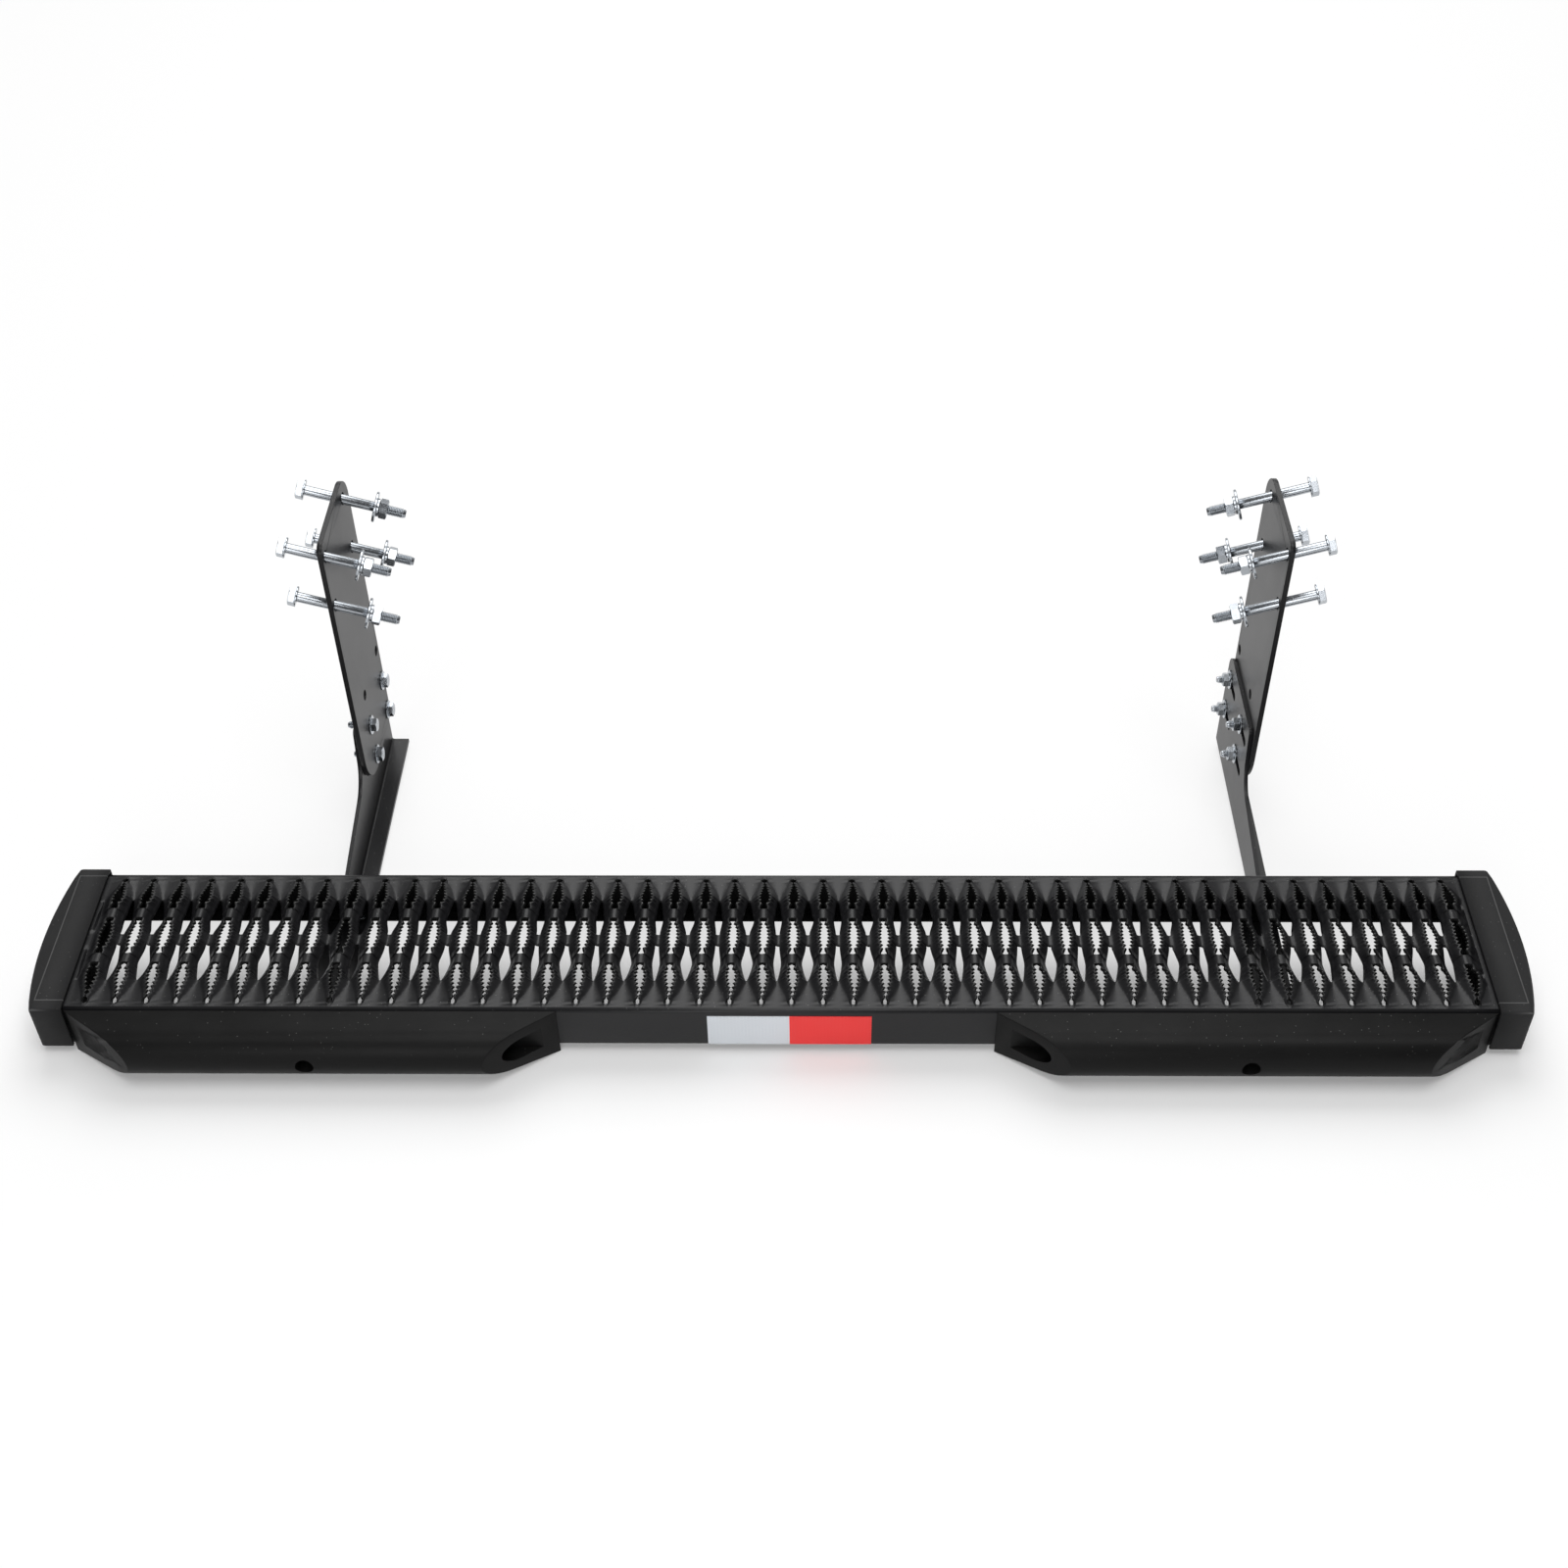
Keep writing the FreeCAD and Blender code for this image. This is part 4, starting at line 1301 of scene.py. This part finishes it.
@dataclass
class StepHardware:
    """Bolts behind the pads and under the feet."""

    shop: Fasteners
    pad_x: float = 431.5
    pad_y: float = -99.6
    pad_z: float = -26.0
    pad_spin: float = 0.3
    pad_bolt: Point2 = (27.0, 14.0)
    pad_washer_at: float = 14.2
    foot_x: Point2 = (-419.0, 481.0)
    foot_y: float = 75.7
    foot_z: float = -53.0
    foot_spin: Point2 = (0.2, 0.5)
    foot_bolt: Point2 = (16.0, 9.0)
    foot_washer_at: float = 6.6
    washer: float = 16.0

    def build(self) -> None:
        """Make the pieces of both groups."""
        ends = (-1, 1)
        ahead, up = Vector((0.0, 1.0, 0.0)), Vector((0.0, 0.0, 1.0))
        spin, swing = self.foot_spin
        pads = [along(Vector((end * self.pad_x, self.pad_y, self.pad_z)), ahead, self.pad_spin)
                for end in ends]
        feet = [along(Vector((x, end * self.foot_y, self.foot_z)), up, spin + swing * end)
                for x in self.foot_x for end in ends]
        shop, outer, sheet = self.shop, self.washer, THIN_SHEET
        groups = {
            "pad_bolts": (shop.bolt(M8, *self.pad_bolt), pads),
            "pad_head_washers": (shop.washer(M8, outer, sheet, 0.0), pads),
            "pad_nut_washers": (shop.washer(M8, outer, sheet, self.pad_washer_at), pads),
            "pad_nuts": (shop.nut(M8, self.pad_washer_at + sheet), pads),
            "foot_bolts": (shop.bolt(M8_LOW, *self.foot_bolt), feet),
            "foot_washers": (shop.washer(M8, outer, sheet, self.foot_washer_at), feet),
            "foot_nuts": (shop.nut(M8, self.foot_washer_at + sheet), feet),
        }
        for node, (drawn, places) in groups.items():
            fasten(node, drawn, places, Body.STEP)


@dataclass
class EndCap:
    """Moulded cap over one end of the plank, with a rimmed panel on top and a bowed shoulder."""

    side: Side
    inner_x: float = 661.0
    ridge_x: float = 687.5
    outer_x: float = 690.9
    bulge: float = 12.0
    half: float = 91.5
    crease: float = 80.0
    end_drop: float = 1.2
    top: float = 4.5
    bottom: float = -48.0
    slope: float = 12.0
    rim_radius: float = 2.4
    line: float = 1.1
    wall: float = 3.0
    steps: int = 24
    plug_x: float = 652.0
    plug_half: float = 80.0
    plug_z: Point2 = (-46.0, -7.5)
    rim_angle: float = 0.9
    inner_margin: float = 2.0
    worn_depth: float = 3.0
    sharp_limit: float = 9.0

    def build(self) -> bpy.types.Object:
        """Make the cap's piece.

        Returns:
            The finished object.
        """
        bm = bmesh.new()
        bmesh.ops.create_grid(bm, x_segments=2, y_segments=self.steps, size=1.0)
        for vert in bm.verts:
            vert.co = self._top_point(round(vert.co.x), vert.co.y * self.steps / (self.steps - 2))
        grown = verts_of(bmesh.ops.extrude_face_region(bm, geom=list(bm.faces), use_keep_orig=True)["geom"])
        for vert in grown:
            vert.co.z = self.bottom
        bmesh.ops.recalc_face_normals(bm, faces=bm.faces)
        self._soften(bm)
        hidden = [face for face in bm.faces
                  if all(vert.co.z < self.bottom + NEAR for vert in face.verts)
                  or all(vert.co.x < self.inner_x + NEAR for vert in face.verts)]
        bmesh.ops.delete(bm, geom=hidden, context="FACES")
        label = self.side.label
        piece = self._finish(f"{label}_cap_shell", bm, (f"{label}_end_cap",))
        shell = piece.modifiers.new("wall", "SOLIDIFY")
        shell.thickness = self.wall * MM
        shell.offset = -1.0
        self._plug()
        return piece

    def _finish(self, name: str, bm: Mesh, nodes: tuple[str, ...]) -> bpy.types.Object:
        """Turn a mesh drawn for the right end into this end's piece.

        Args:
            name: The piece's name.
            bm: Mesh of the right end; it is freed.
            nodes: CAD nodes that it stands for.

        Returns:
            The finished object.
        """
        if self.side is Side.LEFT:
            bmesh.ops.scale(bm, vec=(-1.0, 1.0, 1.0), verts=bm.verts)
            bmesh.ops.reverse_faces(bm, faces=bm.faces)
        return finish_piece(name, bm, Body.STEP, CAP, nodes, math.radians(self.sharp_limit))

    def _plug(self) -> None:
        """Make the moulded block behind the cap that fills the end of the channel."""
        bm = bmesh.new()
        low, high = self.plug_z
        length = self.ridge_x - self.plug_x
        middle = Vector((self.plug_x + length / 2, 0.0, (low + high) / 2))
        size = Matrix.Diagonal((length, 2 * self.plug_half, high - low, 1.0))
        bmesh.ops.create_cube(bm, size=1.0, matrix=Matrix.Translation(middle) @ size)
        face = [item for item in bm.faces if item.normal.x < -0.5]
        bmesh.ops.inset_region(bm, faces=face, thickness=self.wall, use_even_offset=True)
        bmesh.ops.translate(bm, vec=(length / 2, 0.0, 0.0), verts=face[0].verts)
        self._finish(f"{self.side.label}_cap_plug", bm, ())

    def _top_point(self, column: int, share: float) -> Vector:
        """Place of one point of the cap's top.

        Args:
            column: -1 at the inner edge, 0 on the ridge, 1 at the bowed face.
            share: Place along Y, with 1 on the crease and more at the cap's front or back.

        Returns:
            The point.
        """
        outside = abs(share) > 1.0 + 1e-6
        y = math.copysign(self.half, share) if outside else share * self.crease
        bow = self.half * self.half / (2 * self.bulge) + self.bulge / 2
        edge = self.outer_x + self.bulge - bow + math.sqrt(bow * bow - y * y)
        x = (self.inner_x, self.ridge_x, edge)[column + 1]
        drop = max(0.0, x - self.ridge_x) * math.tan(math.radians(self.slope))
        return Vector((x, y, self.top - drop - (self.end_drop if outside else 0.0)))

    def _on_crease(self, edge: bmesh.types.BMEdge) -> bool:
        """Whether an edge lies on the top's ridge or on a crease beside it."""
        ends = [vert.co for vert in edge.verts]
        top = all(end.z > self.top - NEAR for end in ends)
        ridge = all(abs(end.x - self.ridge_x) < NEAR for end in ends)
        crease = all(abs(abs(end.y) - self.crease) < NEAR for end in ends)
        return top and (ridge or crease)

    def _soften(self, bm: Mesh) -> None:
        """Round the cap's edges and mark painted highlight lines along the top's creases and the rounded rims
        near the top.

        Args:
            bm: The sharp cap, closed.
        """
        worn = bm.verts.layers.float.new("worn")
        creases = [edge for edge in bm.edges if self._on_crease(edge)]
        rims = [edge for edge in bm.edges
                if edge.calc_face_angle(0.0) > self.rim_angle
                and not all(vert.co.z < self.bottom + NEAR for vert in edge.verts)
                and not all(vert.co.x < self.inner_x + self.inner_margin for vert in edge.verts)]
        for edges, offset in ((rims, self.rim_radius), (creases, self.line)):
            made = bmesh.ops.bevel(bm, geom=edges, offset=offset, offset_type="OFFSET", affect="EDGES",
                                   segments=3, profile=0.5, material=-1)
            fresh = set(made["faces"])
            # Painted highlight lines on the bevels' middle rows near the top.
            for vert in made["verts"]:
                if fresh.issuperset(vert.link_faces) and vert.co.z > self.top - self.worn_depth:
                    vert[worn] = 1.0


@dataclass
class BumperPad:
    """Hollow rubber extrusion with mitred ends on one half of the front flange."""

    side: Side
    middle_x: float = 431.5
    length: float = 458.0
    setback: float = 66.0
    back_y: float = -88.0
    depth: float = 46.5
    heel_z: float = -57.4
    nose_y: float = -109.5
    nose_z: float = -26.0
    nose_radius: float = 25.0
    bore_radius: float = 13.0
    back_wall: float = 10.0
    hole: float = 17.0
    bolt_hole: float = 9.0
    overshoot: float = 5.0
    hole_segments: int = 28
    rim: float = 1.0
    steps: int = 22

    def build(self) -> bpy.types.Object:
        """Make the pad's piece.

        Returns:
            The finished object.
        """
        bm = bmesh.new()
        outer = self._skin(bm, self._section(self.back_y, self.heel_z, self.nose_radius))
        inner = self._skin(bm, self._section(self.back_y - self.back_wall, self.nose_z - self.bore_radius,
                                             self.bore_radius))
        for first, second in zip(outer, inner):
            bmesh.ops.bridge_loops(bm, edges=first + second)
        bmesh.ops.recalc_face_normals(bm, faces=bm.faces)
        rims = [edge for loop in outer for edge in loop]
        bmesh.ops.bevel(bm, geom=rims, offset=self.rim, offset_type="OFFSET", affect="EDGES", segments=3,
                        profile=0.5, material=-1)
        label = self.side.label
        piece = finish_piece(f"{label}_pad_extrusion", bm, Body.STEP, PAD, (f"{label}_bumper_pad",))
        self._drill(piece)
        return piece

    def _section(self, back: float, low: float, radius: float) -> list[Point2]:
        """Outline in Y and Z: flat top, round nose, underside that runs up to the nose.

        Args:
            back: Y of the flat back.
            low: Z of the lower back corner.
            radius: Radius of the nose.

        Returns:
            Corner points of the closed outline.
        """
        away_y, away_z = self.nose_y - back, self.nose_z - low
        reach = math.hypot(away_y, away_z)
        turn = math.atan2(away_z, away_y) + math.asin(min(1.0, radius / reach))
        first, last = math.pi / 2, turn + math.pi / 2
        sweep = [first + (last - first) * step / self.steps for step in range(self.steps + 1)]
        arc = [(self.nose_y + radius * math.cos(a), self.nose_z + radius * math.sin(a)) for a in sweep]
        return [(back, low), (back, self.nose_z + radius)] + arc

    def _skin(self, bm: Mesh, outline: list[Point2]) -> tuple[Edges, Edges]:
        """Draw an outline along the pad and lean its ends to the mitres.

        Args:
            bm: Mesh to add to.
            outline: Points in Y and Z.

        Returns:
            The loops at the two ends.
        """
        start = self.side.value * self.middle_x - self.length / 2
        verts = [bm.verts.new((start, y, z)) for y, z in outline]
        first = [bm.edges.new((verts[i - 1], verts[i])) for i in range(len(verts))]
        grown = bmesh.ops.extrude_edge_only(bm, edges=first)["geom"]
        fresh = set(verts_of(grown))
        bmesh.ops.translate(bm, vec=(self.length, 0.0, 0.0), verts=list(fresh))
        for group, sign in ((verts, 1), (fresh, -1)):
            for vert in group:
                vert.co.x += sign * self.setback * (self.back_y - vert.co.y) / self.depth
        return first, [edge for edge in edges_of(grown) if fresh.issuperset(edge.verts)]

    def _drill(self, piece: bpy.types.Object) -> None:
        """Cut the access hole through the nose and the bolt hole through the back.

        Args:
            piece: The pad's object.
        """
        bm = bmesh.new()
        front = self.back_y - self.depth - self.overshoot
        for diameter, start, end in ((self.hole, self.nose_y, front),
                                     (self.bolt_hole, self.back_y + self.overshoot, self.nose_y)):
            centre = Vector((self.side.value * self.middle_x, (start + end) / 2, self.nose_z))
            matrix = Matrix.Translation(centre) @ Matrix.Rotation(math.pi / 2, 4, "X")
            bmesh.ops.create_cone(bm, cap_ends=True, segments=self.hole_segments, radius1=diameter / 2,
                                  radius2=diameter / 2, depth=abs(end - start), matrix=matrix)
        bm.transform(part_frame())
        mesh = bpy.data.meshes.new("drill")
        bm.to_mesh(mesh)
        bm.free()
        drill = bpy.data.objects.new("drill", mesh)
        bpy.context.scene.collection.objects.link(drill)
        cut = piece.modifiers.new("holes", "BOOLEAN")
        cut.operation = "DIFFERENCE"
        cut.solver = "EXACT"
        cut.object = drill
        graph = bpy.context.evaluated_depsgraph_get()
        cut_mesh = bpy.data.meshes.new_from_object(piece.evaluated_get(graph))
        piece.modifiers.clear()
        old, piece.data = piece.data, cut_mesh
        bpy.data.meshes.remove(old)
        bpy.data.objects.remove(drill)
        piece.data.shade_smooth()
        piece.data.set_sharp_from_angle(angle=SMOOTH_LIMIT)


@dataclass(frozen=True)
class Lamp:
    """Square soft lamp that faces the part.

    Args:
        name: The lamp's name.
        place: Where it hangs.
        size: Side of its square.
        power: Its power in watts.
    """

    name: str
    place: Point3
    size: float
    power: float

    def hang(self) -> None:
        """Add the lamp to the scene."""
        data = bpy.data.lights.new(self.name, "AREA")
        data.size = self.size
        data.energy = self.power
        lamp = bpy.data.objects.new(self.name, data)
        lamp.location = self.place
        lamp.rotation_euler = (-Vector(self.place)).to_track_quat("-Z", "Y").to_euler()
        bpy.context.scene.collection.objects.link(lamp)


@dataclass
class Studio:
    """Pale floor, soft light and a camera where the photograph was taken."""

    camera_at: Point3 = (43.6, -1303.3, 1430.3)
    pitch: float = 43.25
    turn: float = 1.53
    roll: float = -1.05
    lens: float = 46.63
    sensor: float = 36.0
    floor_size: float = 14.0
    floor_drop: float = 0.0002
    floor_tone: float = 0.95
    # Glow share in front and behind; the rise between them paints light into the floor's shadow.
    glow: Point2 = (0.2, 0.7)
    painted_light_run: Point2 = (-0.115, -0.055)
    sky_low: float = 0.12
    sky_high: float = 0.6
    sky_run: Point2 = (-0.2, 0.6)
    lamps: tuple[Lamp, ...] = (Lamp("overhead", (0.3, -1.0, 4.6), 3.0, 105.0),
                               Lamp("front", (-0.8, -4.2, 1.8), 2.4, 60.0),
                               Lamp("behind", (0.0, 3.2, 3.9), 3.6, 132.0))

    def build(self) -> None:
        """Set up floor, world, lamps and camera."""
        bpy.context.scene.view_settings.view_transform = "Standard"
        self._floor()
        self._world()
        for lamp in self.lamps:
            lamp.hang()
        self._camera()

    def _floor(self) -> None:
        """White floor that keeps a soft shadow in front; further back its glow share rises, which paints
        light into the shadow under the back of the plank.
        """
        bm = bmesh.new()
        bmesh.ops.create_grid(bm, x_segments=1, y_segments=1, size=self.floor_size / 2)
        mesh = bpy.data.meshes.new("floor")
        bm.to_mesh(mesh)
        bm.free()
        floor = bpy.data.objects.new("floor", mesh)
        floor.location.z = -self.floor_drop
        bpy.context.scene.collection.objects.link(floor)
        material = bpy.data.materials.new("studio_floor")
        material.use_nodes = True
        material.node_tree.nodes.clear()
        sheet = Sheet(material.node_tree)
        shade = sheet.feed(sheet.add("BsdfDiffuse"), {"Color": (*(self.floor_tone,) * 3, 1.0)})
        glow = sheet.add("Emission")
        rays = sheet.add("LightPath")
        seen = sheet.math("MAXIMUM", rays.outputs["Is Camera Ray"], rays.outputs["Is Glossy Ray"])
        seen = sheet.math("MAXIMUM", seen, rays.outputs["Is Transmission Ray"])
        # Painted light: the glow share rises along Y, which lifts the shadow under the back of the plank.
        along_y = sheet.axis(sheet.add("TexCoord").outputs["Object"], "Y")
        share = sheet.ramp(along_y, (*self.painted_light_run, *self.glow), "SMOOTHSTEP")
        factor = sheet.math("MULTIPLY", seen, share)
        total = sheet.feed(sheet.add("MixShader"), {0: factor, 1: shade.outputs[0], 2: glow.outputs[0]})
        sheet.link(total.outputs[0], sheet.add("OutputMaterial").inputs["Surface"])
        mesh.materials.append(material)

    def _world(self) -> None:
        """Soft surroundings, pale behind the part and dim on the camera's side."""
        world = bpy.data.worlds.new("studio")
        bpy.context.scene.world = world
        world.use_nodes = True
        world.node_tree.nodes.clear()
        sheet = Sheet(world.node_tree)
        along_y = sheet.axis(sheet.add("TexCoord").outputs["Generated"], "Y")
        level = sheet.ramp(along_y, (*self.sky_run, self.sky_low, self.sky_high), "SMOOTHSTEP")
        light = sheet.feed(sheet.add("Background"), {"Strength": level})
        sheet.link(light.outputs[0], sheet.add("OutputWorld").inputs["Surface"])

    def _camera(self) -> None:
        """Add the camera and make it the scene's."""
        data = bpy.data.cameras.new("photo_view")
        data.lens = self.lens
        data.sensor_width = self.sensor
        data.sensor_fit = "HORIZONTAL"
        camera = bpy.data.objects.new("photo_view", data)
        turn = (Matrix.Rotation(math.radians(self.turn), 4, "Z")
                @ Matrix.Rotation(math.radians(90.0 - self.pitch), 4, "X")
                @ Matrix.Rotation(math.radians(self.roll), 4, "Z"))
        camera.matrix_world = Matrix.Translation(part_frame() @ Vector(self.camera_at)) @ turn
        bpy.context.scene.collection.objects.link(camera)
        bpy.context.scene.camera = camera


def main() -> None:
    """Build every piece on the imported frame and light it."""
    logging.basicConfig(level=logging.INFO, format="%(name)s: %(message)s")
    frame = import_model()
    nodes = frame["nodes"]
    GripTread().build()
    dress_node(nodes["silver_tape"], SILVER)
    dress_node(nodes["red_tape"], RED)
    shop = Fasteners()
    for side in Side:
        EndCap(side).build()
        BumperPad(side).build()
        dress_node(nodes[side.label + "_arm"], COAT, SOFT_EDGE)
        dress_node(nodes[side.label + "_frame_plate"], COAT, SOFT_EDGE)
        BracketHardware(side, shop).build()
    StepHardware(shop).build()
    Studio().build()


if __name__ == "__main__":
    main()
